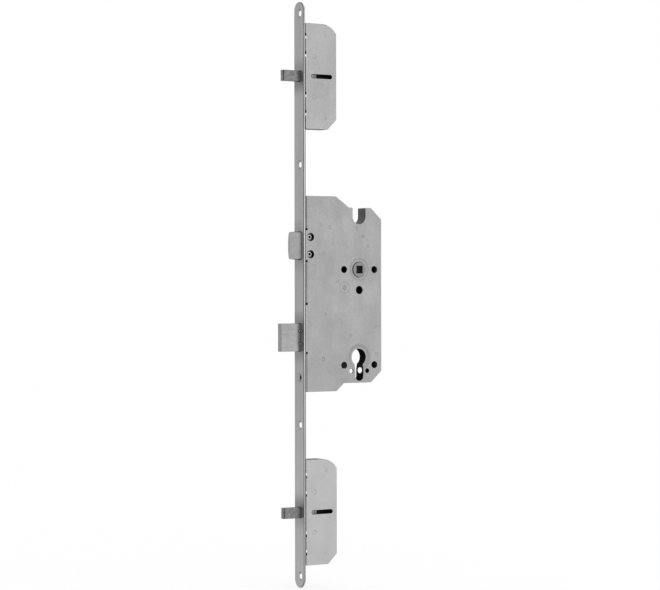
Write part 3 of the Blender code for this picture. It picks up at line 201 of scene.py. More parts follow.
# Latch, deadbolt and bolts
LATCH_Z = 24.6 * MM
LATCH_REACH = 13.1 * MM
LATCH_REAR = 13.0 * MM
LATCH_HALF = 4.6 * MM
LATCH_RISE = 15.0 * MM
LATCH_ROOF = 1.6 * MM
LATCH_BULGE = 1.6 * MM
LATCH_NOSE = 1.2 * MM
LATCH_SLOPE = 1.4 * MM
LATCH_SPARE = 4.0 * MM
# Slots for the tails: front, half width and half height
LATCH_SLOT = mm(0.7, 1.5, 12.8)
DEADBOLT_SLOT = mm(-4.3, 1.5, 10.3)
LATCH_SCREW_X = 9.6 * MM
LATCH_SCREWS = {"latch_screw_upper": 33.5 * MM, "latch_screw_lower": 15.7 * MM}
DEADBOLT_Z = -70.4 * MM
RIVET_X = -1.0 * MM
RIVETS = {"deadbolt_rivet_upper": -63.7 * MM, "deadbolt_rivet_lower": -77.1 * MM}
RIVET_RADIUS = 1.2 * MM
RIVET_ROOM = 0.4 * MM
RIVET_BORE_X = -1.3 * MM
BOLT_SIDE = 3.15 * MM
BORE_FRONT = -4.0 * MM
BOLT_PLAY = 0.35 * MM
SPINDLE_HALF = 4.0 * MM
SPINDLE_CORNER = 0.4 * MM
ARM_HALF = 2.5 * MM
KNUCKLE_HALF = 2.8 * MM
KNUCKLE_EDGE = 0.2 * MM
# Follower's arm and heel: tip, root, neck and tip radius
FOLLOWER_ARMS = (
    (mm(63.4, 23.017), 4.0 * MM, 2.0 * MM, 3.2 * MM),
    (mm(73.583, -12.496), 3.2 * MM, 1.6 * MM, 2.5 * MM),
)

# Profiles of turned pieces: distance along the axis, or for a dome from its end, and radius
LATCH_SCREW_PROFILE = in_mm((
    (-5.4, 1.9), (-5.36, 2.3), (-5.22, 2.8), (-5.0, 3.12),
    (-4.75, 3.3), (-4.3, 3.3), (-4.3, 1.7), (3.4, 1.7),
))
LATCH_SCREW_SOCKET = in_mm(((-6.0, 1.7), (-4.5, 1.7), (-4.36, 0.3)))
LATCH_SCREW_SEAT = in_mm(((-6.0, 3.75), (-4.6, 3.6), (-4.0, 3.6), (-4.0, 2.0), (3.7, 2.0)))
RIVET_DOME = in_mm(((0.05, 0.35), (0.1, 0.7), (0.22, 1.0), (0.45, 1.2)))
PIN_DOME = in_mm(((0.0, 1.0), (0.06, 1.5), (0.22, 1.85), (0.5, 2.0)))
HUB_SIDE = in_mm(((-8.1, 7.6), (-8.02, 7.8), (-7.9, 7.85), (-5.35, 7.85), (-5.35, 9.0)))
CYLINDER_SCREW_HEAD = in_mm(((0.5, 4.02), (0.56, 4.14), (2.1, 2.5), (18.0, 2.5), (18.2, 2.1)))
CYLINDER_SCREW_SOCKET = in_mm(((-1.0, 4.4), (0.5, 3.92), (2.25, 2.25), (2.75, 2.24), (6.0, 2.2)))
CYLINDER_SCREW_TIP = in_mm(((59.4, 2.1), (60.0, 1.6)))
THREAD_START = 18.2 * MM
THREAD_PITCH = 0.8 * MM
THREAD_TURNS = 51
THREAD_RADII = mm(2.1, 2.5)

# Springs: node, joint that squeezes it, wire, turns, end that stays, travel
SPRINGS = (
    ("latch_spring", "latch_slide", 0.9 * MM, 11, "back", 13.2 * MM),
    ("follower_spring", "follower_turn", 0.8 * MM, 10, "front", 7.17 * MM),
)

# Parts of the mechanism that keep the frame's shape, with their finishes
INNER_PARTS = {
    "latch_carrier": "inside",
    "latch_spring_seat": "inside",
    "deadbolt_tail": "inside",
    "deadbolt_pin": "hub",
    "drive_slide": "inside",
    "upper_cam": "inside",
    "lower_cam": "inside",
    "upper_rod": "case",
    "lower_rod": "case",
}

# Metals: name, features per metre of the fine grain and of the broad mottling along X, Y and Z, least
# and most roughness, contrast of the colour, relief in millimetres and, where it isn't 1, how metallic
METALS = {
    "forend": ("brushed_forend_steel", (900, 900, 14), (260, 260, 5), (0.36, 0.48), 0.05, 0.02),
    "edge": ("edge_painted_shade_steel", (900, 900, 60), (200, 200, 30), (0.40, 0.52), 0.10, 0.02),
    "lip": ("forend_side_painted_highlight_steel", (900, 900, 30), (200, 200, 12), (0.34, 0.46), 0.06, 0.02),
    "cut": ("notch_wall_painted_shade_steel", (1600, 300, 1600), (300, 120, 300), (0.45, 0.60), 0.16, 0.03),
    "bolt_end": ("bolt_end_painted_shade_steel", (900, 900, 200), (200, 200, 90), (0.38, 0.52), 0.07, 0.02),
    "case": ("satin_case_zinc", (1400, 1400, 500), (55, 55, 22), (0.42, 0.54), 0.025, 0.015),
    # The two boxes have one zinc plating; the lower box's brighter colour is painted light
    "upper_box": ("satin_upper_box_zinc", (1400, 1400, 500), (60, 60, 24), (0.42, 0.54), 0.025, 0.015),
    "lower_box": ("satin_lower_box_zinc_painted_light", (1400, 1400, 500), (60, 60, 24), (0.42, 0.54), 0.025, 0.015),
    "lug": ("lug_painted_highlight_steel", (900, 900, 900), (250, 250, 250), (0.30, 0.42), 0.06, 0.015),
    "bolt": ("ground_latch_steel", (60, 900, 900), (120, 120, 160), (0.34, 0.46), 0.045, 0.02),
    "deadbolt": ("ground_deadbolt_painted_shade_steel", (60, 900, 900), (120, 120, 160), (0.34, 0.46), 0.045, 0.02),
    "dark_bolt": ("mottled_bolt_steel", (700, 700, 900), (240, 240, 320), (0.36, 0.52), 0.24, 0.03),
    "hub": ("sintered_follower_steel", (1500, 1500, 1500), (300, 300, 300), (0.44, 0.58), 0.08, 0.03),
    "screw": ("plated_screw_steel", (900, 900, 900), (250, 250, 250), (0.26, 0.38), 0.06, 0.015),
    "pin": ("worn_pin_steel", (900, 900, 900), (420, 250, 250), (0.34, 0.48), 0.14, 0.02),
    "inside": ("dark_phosphate_and_painted_shade", (1800, 1800, 1800), (160, 160, 160), (0.62, 0.78), 0.25, 0.02, 0.3),
    "spring": ("oiled_spring_wire", (1200, 1200, 1200), (90, 90, 90), (0.28, 0.42), 0.12, 0.015),
}
SMUDGE = (45, 45, 30)
SMUDGE_DEPTH = 0.04
NOISE_ROUGHNESS = 0.55
BUMP_STRENGTH = 0.35

# Stage
FLOOR_SIZE = 30.0
FLOOR_GAP = 0.1 * MM
FLOOR_GLOW = 0.75
FLOOR_WHITE = (0.99, 0.99, 0.99, 1.0)
FLOOR_ROUGHNESS = 0.9
FLOOR_SHEEN = 0.1
WHITE = (1.0, 1.0, 1.0, 1.0)
LAMP_PLACE = (1.6, -2.2, -0.2)
LAMP_TARGET = (0.05, 0.0, 0.0)
LAMP_SIZE = 1.6
SENSOR_WIDTH = 36.0
FRAME_WIDTH = 660.0
CLIP_END = 100.0

# How a ring lies for each axis it is extruded along
TURN = {"X": (0.0, math.pi / 2, 0.0), "Y": (math.pi / 2, 0.0, 0.0), "Z": (0.0, 0.0, 0.0)}


def a_length(name, description, millimetres):
    """Property for a small length."""
    return bpy.props.FloatProperty(
        name=name, description=description, default=millimetres * MM, min=0.0, unit="LENGTH", precision=5)


def a_colour(name, description, grey, blue=None):
    """Property for the colour of a metal, which is grey."""
    return bpy.props.FloatVectorProperty(
        name=name, description=description, default=(grey, grey, blue or grey),
        min=0.0, max=1.0, subtype="COLOR")


class PlateSizes(bpy.types.PropertyGroup):
    """Sizes of the sheet-metal details."""
    edge: a_length("Edge rounding", "Rounding of the punched outer edges", 0.3)
    bend: a_length("Bend radius", "Outer radius where the far plate folds into its walls", 0.8)
    flare: a_length("Hole flare", "Break of the edge at the mouth of each hole", 0.05)
    recess: a_length("Recess depth", "Depth of the deepest round recess, at the cylinder", 1.1)
    mark: a_length("Press mark depth", "Depth of the faint round press marks", 0.28)
    groove: a_length("Bend groove", "Width and depth of the groove behind the forend", 0.7)


class BoltSizes(bpy.types.PropertyGroup):
    """Sizes of the details on bolts, screws and springs."""
    forend_edge: a_length("Forend edge", "Rounding of the long front edges of the forend", 0.6)
    deadbolt_chamfer: a_length("Deadbolt chamfer", "Bevel on the deadbolt's front edges", 0.8)
    bolt_chamfer: a_length("Bolt chamfer", "Bevel on the front edges of the outer bolts", 0.6)
    edge: a_length("Bolt edge", "Rounding of the other edges of latch and bolts", 0.25)
    spring_steps: bpy.props.IntProperty(
        name="Spring steps", description="Faces round one turn of a spring", default=28, min=8, max=64)


class Finishes(bpy.types.PropertyGroup):
    """Colours of the metals."""
    forend: a_colour("Forend steel", "Brushed steel of the forend", 0.37)
    # Painted shade: a dark line standing in for reflection on the forend's rounded front edges, and dark
    # bevels on the outer bolts
    edge: a_colour("Broken edge", "Darker steel of the broken edges and bolt bevels", 0.05)
    # Painted highlight: the forend's long sides are its own steel, made brighter to stand in for light on
    # them
    lip: a_colour("Forend side", "Bright long sides of the forend", 0.47)
    # Painted highlight: the near-white lug ends stand in for glints on them
    lug: a_colour("Lugs", "Bare ends of the lugs on the bolt boxes", 0.85)
    # Painted shade: the dark notch walls and the boxes' end walls that face the case stand in for shade
    cut: a_colour("Cut edge", "Sheared sheet edge in the notch", 0.10)
    case: a_colour("Case zinc", "Zinc plating of the main case", 0.335)
    # Painted light: both boxes have one zinc plating, and the lower one is made brighter to stand in for the
    # light falling on it
    upper_box: a_colour("Upper box zinc", "Zinc plating of the upper bolt box", 0.385)
    lower_box: a_colour("Lower box zinc", "Brighter zinc plating of the lower bolt box", 0.44)
    bolt: a_colour("Latch steel", "Ground steel of the latch", 0.37)
    # Painted shade: the deadbolt and its front end are the latch's ground steel, made darker to stand in for
    # how the light falls on them
    deadbolt: a_colour("Deadbolt steel", "Ground steel of the deadbolt", 0.29)
    bolt_end: a_colour("Bolt end steel", "Sawn front end of the deadbolt", 0.30)
    dark_bolt: a_colour("Dark bolt steel", "Mottled steel of the outer bolts", 0.205)
    hub: a_colour("Follower steel", "Sintered steel of the follower", 0.26)
    screw: a_colour("Screw steel", "Bright plated steel of screws and rivets", 0.35)
    pin: a_colour("Guide pin steel", "Worn steel of the pins and shoes in the slots", 0.22)
    # Partly painted shade: the phosphate coat of the inner parts is real, but on hole walls, grooves,
    # openings, the forend's step, sockets and the hub's sides this near black stands in for shade
    inside: a_colour("Inside", "Dark phosphate coat of the inner parts and inner faces", 0.014)
    spring: a_colour("Spring steel", "Oiled spring wire", 0.08, 0.085)


class StageSettings(bpy.types.PropertyGroup):
    """Light, floor and camera."""
    world: bpy.props.FloatProperty(
        name="Room light", description="Strength of the even white light from all round",
        default=1.0, min=0.0)
    key: bpy.props.FloatProperty(
        name="Key light", description="Power of the large soft lamp beside the camera",
        default=9.0, min=0.0, unit="POWER")
    camera: bpy.props.FloatVectorProperty(
        name="Camera place", description="Where the camera stands", subtype="TRANSLATION", unit="LENGTH",
        default=(-1.29947, -2.06704, -0.01633))
    turn: bpy.props.FloatVectorProperty(
        name="Camera turn", description="Yaw, pitch and roll of the camera", subtype="EULER", unit="ROTATION",
        default=(math.radians(32.91), math.radians(-0.24), math.radians(-0.08)))
    focal: bpy.props.FloatProperty(
        name="Focal length", description="Focal length in pixels of the 660 pixel wide frame",
        default=2355.9, min=1.0, subtype="PIXEL")


# Modelling by hand

def at(axis, a, b, along):
    """Point from two coordinates across an axis and one along it."""
    return {"X": (along, a, b), "Y": (a, along, b), "Z": (a, b, along)}[axis]


def let_go():
    """Leave edit mode and deselect everything."""
    if bpy.context.object and bpy.context.object.mode != "OBJECT":
        bpy.ops.object.mode_set(mode="OBJECT")
    bpy.ops.object.select_all(action="DESELECT")


def take(item):
    """Select one object alone and make it the active one."""
    let_go()
    item.select_set(True)
    bpy.context.view_layer.objects.active = item


def edit_all(item):
    """Enter edit mode with the whole of one object selected."""
    take(item)
    bpy.ops.object.mode_set(mode="EDIT")
    bpy.ops.mesh.select_all(action="SELECT")


def turn_outwards():
    """In edit mode, close the seams and point every face outwards."""
    bpy.ops.mesh.select_all(action="SELECT")
    bpy.ops.mesh.remove_doubles(threshold=SEAM)
    bpy.ops.mesh.normals_make_consistent(inside=False)
    bpy.ops.object.mode_set(mode="OBJECT")


def new_item(name):
    """Name the object just added and put its place, turn and size into its mesh."""
    bpy.ops.object.transform_apply(location=True, rotation=True, scale=True)
    bpy.context.object.name = name
    return bpy.context.object


def sheet(outline, low, high, axis="Y", name="tool"):
    """Plate: a filled ring whose corners are laid on the outline, then extruded."""
    let_go()
    bpy.ops.mesh.primitive_circle_add(vertices=len(outline), radius=MM, fill_type="NGON")
    item = new_item(name)
    for corner, point in zip(item.data.vertices, outline):
        corner.co = at(axis, *point, low)
    edit_all(item)
    bpy.ops.mesh.extrude_region_move(TRANSFORM_OT_translate={"value": at(axis, 0.0, 0.0, high - low)})
    turn_outwards()
    return item


def turned(profile, centre, axis="Y", sides=32, name="tool"):
    """Turned piece: a filled ring, extruded and resized along pairs of distance and radius."""
    let_go()
    along, radius = profile[0]
    bpy.ops.mesh.primitive_circle_add(
        vertices=sides, radius=radius, fill_type="NGON",
        location=at(axis, *centre, along), rotation=TURN[axis])
    item = new_item(name)
    edit_all(item)
    for next_along, next_radius in profile[1:]:
        step = at(axis, 0.0, 0.0, next_along - along)
        bpy.ops.mesh.extrude_region_move(TRANSFORM_OT_translate={"value": step})
        if next_radius != radius:
            ratio = next_radius / radius
            bpy.ops.transform.resize(
                value=(ratio, ratio, ratio), center_override=at(axis, *centre, next_along))
        along, radius = next_along, next_radius
    turn_outwards()
    return item


def block(low, high, name="tool"):
    """Box between two corners, to be shaped further or used as a cutter."""
    let_go()
    middle = [(a + b) / 2 for a, b in zip(low, high)]
    size = [b - a for a, b in zip(low, high)]
    bpy.ops.mesh.primitive_cube_add(size=1.0, location=middle, scale=size)
    return new_item(name)


def modify(item, kind, **settings):
    """Give a piece a modifier with these settings and apply it."""
    take(item)
    modifier = item.modifiers.new(kind.lower(), kind)
    for name, value in settings.items():
        setattr(modifier, name, value)
    bpy.ops.object.modifier_apply(modifier=modifier.name)


def combine(item, tools, operation="DIFFERENCE"):
    """Join the tools, cut them out of a piece or add them to it, and take them away."""
    take(tools[0])
    for tool in tools[1:]:
        tool.select_set(True)
    if len(tools) > 1:
        bpy.ops.object.join()
    tool = bpy.context.object
    modify(item, "BOOLEAN", operation=operation, solver="EXACT", object=tool)
    bpy.data.objects.remove(tool, do_unlink=True)
    if not item.data.polygons:
        raise RuntimeError(f"{item.name}: nothing is left after {operation}")
    return item


def pick(item, kind, wanted):
    """Enter edit mode with only the edges or faces selected that pass a test."""
    take(item)
    bpy.ops.object.mode_set(mode="EDIT")
    bpy.ops.mesh.select_mode(type=kind)
    bpy.ops.mesh.select_all(action="DESELECT")
    bpy.ops.object.mode_set(mode="OBJECT")
    elements = item.data.edges if kind == "EDGE" else item.data.polygons
    for element in elements:
        element.select = wanted(element)
    bpy.ops.object.mode_set(mode="EDIT")


def bevel_edges(item, wanted, width, segments):
    """Bevel the edges whose two ends pass a test."""
    corners = item.data.vertices
    pick(item, "EDGE", lambda edge: wanted(*(corners[index].co for index in edge.vertices)))
    bpy.ops.mesh.bevel(offset=width, segments=segments, affect="EDGES")
    turn_outwards()


def round_rim(item, axis, level, width, segments=3):
    """Round the edges of a plate's outline at one of its faces."""
    index = "XYZ".index(axis)
    bevel_edges(item, lambda *ends: all(abs(end[index] - level) < NEAR for end in ends), width, segments)


def round_all(item, width, segments=2, angle=40.0):
    """Round every sharp edge with a Bevel modifier."""
    modify(item, "BEVEL", width=width, segments=segments, limit_method="ANGLE",
           angle_limit=math.radians(angle), use_clamp_overlap=False)


def copy_piece(item, name, offset):
    """Copy of a piece with its own mesh, moved in edit mode."""
    take(item)
    bpy.ops.object.duplicate(linked=False)
    twin = bpy.context.object
    twin.name = name
    edit_all(twin)
    bpy.ops.transform.translate(value=offset)
    bpy.ops.object.mode_set(mode="OBJECT")
    return twin


def repeat(item, prefix, heights):
    """A piece and its copies at the other heights, by the CAD nodes that they stand for."""
    first, *others = heights
    pieces = {first: item}
    for node in others:
        pieces[node] = copy_piece(item, prefix + node, (0.0, 0.0, heights[node] - heights[first]))
    return pieces


def hand_over(item, body, slot, finishes, *nodes, which=None, angle=32.0):
    """Shade a finished piece, give it its finishes and its body, and let it stand for its CAD nodes."""
    take(item)
    item.data.name = item.name
    bpy.ops.object.shade_smooth_by_angle(angle=math.radians(angle))
    modify(item, "WEIGHTED_NORMAL", keep_sharp=True)
    item.data.materials.clear()
    for finish in finishes:
        item.data.materials.append(finish_of(finish))
    for face in item.data.polygons:
        face.material_index = int(which(face.center, face.normal)) if which else 0
    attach(item, body)
    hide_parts(*nodes)
    item.select_set(False)


# Outlines

def arc(centre, radius, start, end, steps):
    """Points on an arc, both ends included, from one angle in degrees to another."""
    angles = [math.radians(start + (end - start) * step / steps) for step in range(steps + 1)]
    return [(centre[0] + radius * math.cos(a), centre[1] + radius * math.sin(a)) for a in angles]


def rectangle(left, bottom, right, top):
    """Corners of an upright rectangle."""
    return [(left, bottom), (right, bottom), (right, top), (left, top)]


def stadium(first, second, radius, steps=12):
    """Slot with round ends between two centres on one level."""
    return arc(second, radius, -90.0, 90.0, steps) + arc(first, radius, 90.0, 270.0, steps)


def eased(points, radius, steps=3):
    """Outline with its corners rounded; corners that hardly turn stay as they are."""
    least_turn = math.radians(25.0)
    most_share = 0.45
    out = []
    for index, here in enumerate(points):
        before = Vector(points[index - 1]) - Vector(here)
        after = Vector(points[(index + 1) % len(points)]) - Vector(here)
        turn = math.pi - before.angle(after)
        if turn < least_turn:
            out.append(here)
            continue
        run = min(radius * math.tan(turn / 2), before.length * most_share, after.length * most_share)
        start = Vector(here) + before.normalized() * run
        end = Vector(here) + after.normalized() * run
        for step in range(steps + 1):
            t = step / steps
            point = start * (1 - t) ** 2 + Vector(here) * 2 * t * (1 - t) + end * t ** 2
            out.append((point.x, point.y))
    return out


def inset(points, distances):
    """Outline whose edges are moved inwards, each by its own distance."""
    lines = []
    for index, start in enumerate(points):
        end = points[(index + 1) % len(points)]
        along = (Vector(end) - Vector(start)).normalized()
        lines.append((Vector(start) + Vector((-along.y, along.x)) * distances[index], along))
    out = []
    for index, (base, along) in enumerate(lines):
        other, other_along = lines[index - 1]
        share = (base - other).cross(along) / other_along.cross(along)
        point = other + other_along * share
        out.append((point.x, point.y))
    return out


def case_outline():
    """Main case from the side, with the round notch in its top edge."""
    return CASE_OUTLINE + arc(NOTCH, NOTCH_RADIUS, 0.0, -180.0, 24) + CASE_OUTLINE_TOP


def box_outline(height):
    """Bolt box from the side, bowed at its upper back corner and cut off at its lower one."""
    centre = (BOX_BACK - BOX_ROUNDING_RUN, height + BOX_HALF - BOX_ROUNDING)
    start = math.degrees(math.acos(BOX_ROUNDING_RUN / BOX_ROUNDING))
    return [
        (BOX_FRONT, height - BOX_HALF),
        (BOX_BACK - BOX_CHAMFER, height - BOX_HALF),
        (BOX_BACK, height - BOX_HALF + BOX_CHAMFER),
        *arc(centre, BOX_ROUNDING, start, 90.0, 20),
        (BOX_FRONT, height + BOX_HALF),
    ]


def cylinder_outline(room):
    """Profile-cylinder hole: a round head with a narrower slot below it."""
    half = CYLINDER_SLOT + room
    head = CYLINDER_ROUND + room
    meet = math.degrees(math.acos(half / head))
    foot = (CYLINDER[0], CYLINDER_FOOT)
    return arc(foot, half, 180.0, 360.0, 16) + arc(CYLINDER, head, -meet, 180.0 + meet, 40)


def latch_section(grow=0.0):
    """Latch seen from the front, as (Y, Z), with its shallow roof at top and bottom."""
    half = LATCH_HALF + grow
    ridge = LATCH_RISE + grow
    eave = ridge - LATCH_ROOF
    points = [(-half, -eave), (0.0, -ridge), (half, -eave), (half, eave), (0.0, ridge), (-half, eave)]
    return [(y, z + LATCH_Z) for y, z in points]


def hole_tool(centre, radius, out, flare):
    """Cutter for a round hole in the near (-1) or far (1) plate, whose mouth is broken outside."""
    profile = [
        (out * (SIDE + flare), radius + 2 * flare),
        (out * (SIDE - flare), radius),
        (out * THROUGH, radius),
    ]
    return turned(profile, centre)


def recess_tool(centre, radius, out, depth):
    """Cutter for a shallow pressed recess with a sloping edge, in the near (-1) or far (1) plate."""
    profile = [(out * (SIDE + MM), radius + depth)]
    profile += [(out * (SIDE - depth * down), radius - depth * run) for down, run in RECESS_SLOPE]
    return turned(profile, centre, sides=72)


def bow_radius(half, depth):
    """Radius of a bow of this half width and depth."""
    return (half ** 2 + depth ** 2) / (2 * depth)


def mark_tool(centre, radius, depth):
    """Cutter for a faint round dish: a flat ball that only just reaches the near plate."""
    ball = bow_radius(radius, depth)
    rim = radius * 1.2
    tip = 0.01 * MM
    steps = 5
    profile = []
    for step in range(steps + 1):
        share = step / steps
        reach = rim * (1 - share) + tip * share
        profile.append((-SIDE + math.sqrt(ball ** 2 - reach ** 2) - ball + depth, reach))
    return turned(profile, centre, sides=28)


def ring_tool(centre, radius, width, depth):
    """Cutter for a ring pressed into the near plate."""
    let_go()
    ball = bow_radius(width, depth)
    bpy.ops.mesh.primitive_torus_add(
        location=(centre[0], -SIDE - ball + depth, centre[1]), rotation=TURN["Y"],
        major_segments=64, minor_segments=48, major_radius=radius, minor_radius=ball)
    return new_item("tool")


# Finishes

def new_finish(name):
    """Material, its nodes and its shader."""
    finish = bpy.data.materials.new(name)
    finish.use_nodes = True
    return finish, finish.node_tree, finish.node_tree.nodes["Principled BSDF"]


def feed(tree, value, socket):
    """Link an output to an input, or set a plain value there."""
    if isinstance(value, bpy.types.NodeSocket):
        tree.links.new(value, socket)
    else:
        socket.default_value = value


def add_node(tree, kind, inputs, operation=None):
    """First output of a new node that is fed with outputs of other nodes and plain values."""
    node = tree.nodes.new("ShaderNode" + kind)
    if operation:
        node.operation = operation
    for name, value in inputs.items():
        feed(tree, value, node.inputs[name])
    return node.outputs[0]


def object_place(tree):
    """Place on the object that a point of its surface has."""
    return add_node(tree, "TexCoord", {}).node.outputs["Object"]


def grain(tree, stretch, detail=3.0):
    """Noise stretched along the axes, in features per metre."""
    place = add_node(tree, "Mapping", {"Vector": object_place(tree), "Scale": stretch})
    inputs = {"Vector": place, "Scale": 1.0, "Detail": detail, "Roughness": NOISE_ROUGHNESS}
    return add_node(tree, "TexNoise", inputs)


def spread(tree, value, low, high, start=0.3, end=0.7):
    """Map a value from one range onto another."""
    ends = {"From Min": start, "From Max": end, "To Min": low, "To Max": high}
    return add_node(tree, "MapRange", {"Value": value, **ends})


def work_out(tree, operation, first, second):
    """Sum, product or the like of two values."""
    return add_node(tree, "Math", {0: first, 1: second}, operation)


def tint(tree, colour, factor):
    """Colour scaled by a factor that varies over the surface."""
    return add_node(tree, "VectorMath", {0: colour, "Scale": factor}, "SCALE")


def blend(tree, share, first, second, output):
    """Mix two shaders and send the mix to the output of the tree."""
    mix = add_node(tree, "MixShader", {0: share, 1: first, 2: second})
    tree.links.new(mix, tree.nodes[output].inputs["Surface"])


def metal(colour, name, fine, broad, rough, contrast, relief, metallic=1.0):
    """Metal with fine grain in its roughness and relief and broad mottling in its colour."""
    finish, tree, shader = new_finish(name)
    small = grain(tree, fine)
    large = grain(tree, broad, detail=4.0)
    smudge = grain(tree, SMUDGE, detail=2.0)
    shade = work_out(tree, "MULTIPLY", spread(tree, large, 1.0 - contrast, 1.0 + contrast),
                     spread(tree, small, 1.0 - contrast / 2, 1.0 + contrast / 2))
    bump = {"Strength": BUMP_STRENGTH, "Distance": relief * MM, "Height": small}
    inputs = {
        "Base Color": tint(tree, colour, shade),
        "Roughness": work_out(tree, "ADD", spread(tree, small, *rough),
                              spread(tree, smudge, -SMUDGE_DEPTH, SMUDGE_DEPTH)),
        "Normal": add_node(tree, "Bump", bump),
        "Metallic": metallic,
    }
    for socket, value in inputs.items():
        feed(tree, value, shader.inputs[socket])
    return finish


def paint_shade_along(finish, stops):
    """Paint light and shade into a finish: scale its colour along the height, by stops of height and factor,
    from bottom to top.
    """
    tree = finish.node_tree
    base = tree.nodes["Principled BSDF"].inputs["Base Color"]
    height = add_node(tree, "SeparateXYZ", {"Vector": object_place(tree)}).node.outputs["Z"]
    low, high = stops[0][0], stops[-1][0]
    painted_tone = add_node(tree, "ValToRGB", {"Fac": spread(tree, height, 0.0, 1.0, low, high)})
    ramp = painted_tone.node.color_ramp
    ramp.interpolation = "EASE"
    for place, _ in stops[1:-1]:
        ramp.elements.new((place - low) / (high - low))
    # A ramp's colours end at 1, so it holds half of each factor
    for element, (_, factor) in zip(ramp.elements, stops):
        element.color = (factor / 2, factor / 2, factor / 2, 1.0)
    factor = work_out(tree, "MULTIPLY", painted_tone, 2.0)
    feed(tree, tint(tree, base.links[0].from_socket, factor), base)


FINISHES = {}


def finish_of(name):
    """Finish by name, made with all the others when the first one is asked for."""
    if not FINISHES:
        colours = bpy.context.scene.lock_finishes
        for key, recipe in METALS.items():
            FINISHES[key] = metal(getattr(colours, key), *recipe)
    return FINISHES[name]


def contains(outline, point):
    """Whether a point lies inside an outline."""
    odd = False
    for index, (x, y) in enumerate(outline):
        last_x, last_y = outline[index - 1]
        if (y > point.y) != (last_y > point.y):
            odd ^= point.x < (last_x - x) * (point.y - y) / (last_y - y) + x
    return odd


def plate_faces(outline):
    """Which finish a face of a case takes: 0 outside, 1 inside, in a hole or in a bend groove, where near
    black is painted shade, 2 in the notch at the top, painted dark as shade.
    """
    near = 0.1 * MM
    probe = 2.0 * MM
    groove_back = 10.0 * MM
    groove_floor = -SIDE + 0.3 * MM
    bend = 0.5

    def which(centre, normal):
        if normal.y > FACING:
            return abs(centre.y + INNER) < near
        if normal.y < -FACING:
            in_groove = centre.x < groove_back and groove_floor < centre.y < -INNER
            return in_groove or centre.y > RIM
        if contains(outline, Vector((centre.x + normal.x * probe, centre.z + normal.z * probe))):
            return 1
        beside = abs(centre.x - NOTCH[0]) < NOTCH_RADIUS + near
        in_notch = beside and centre.z > NOTCH[1] - NOTCH_RADIUS - MM
        return 2 if in_notch and abs(normal.y) < bend else 0
    return which


def place_of(node):
    """Middle of a CAD node as seen from the side."""
    low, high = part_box(node)
    return ((low[0] + high[0]) / 2, (low[2] + high[2]) / 2)


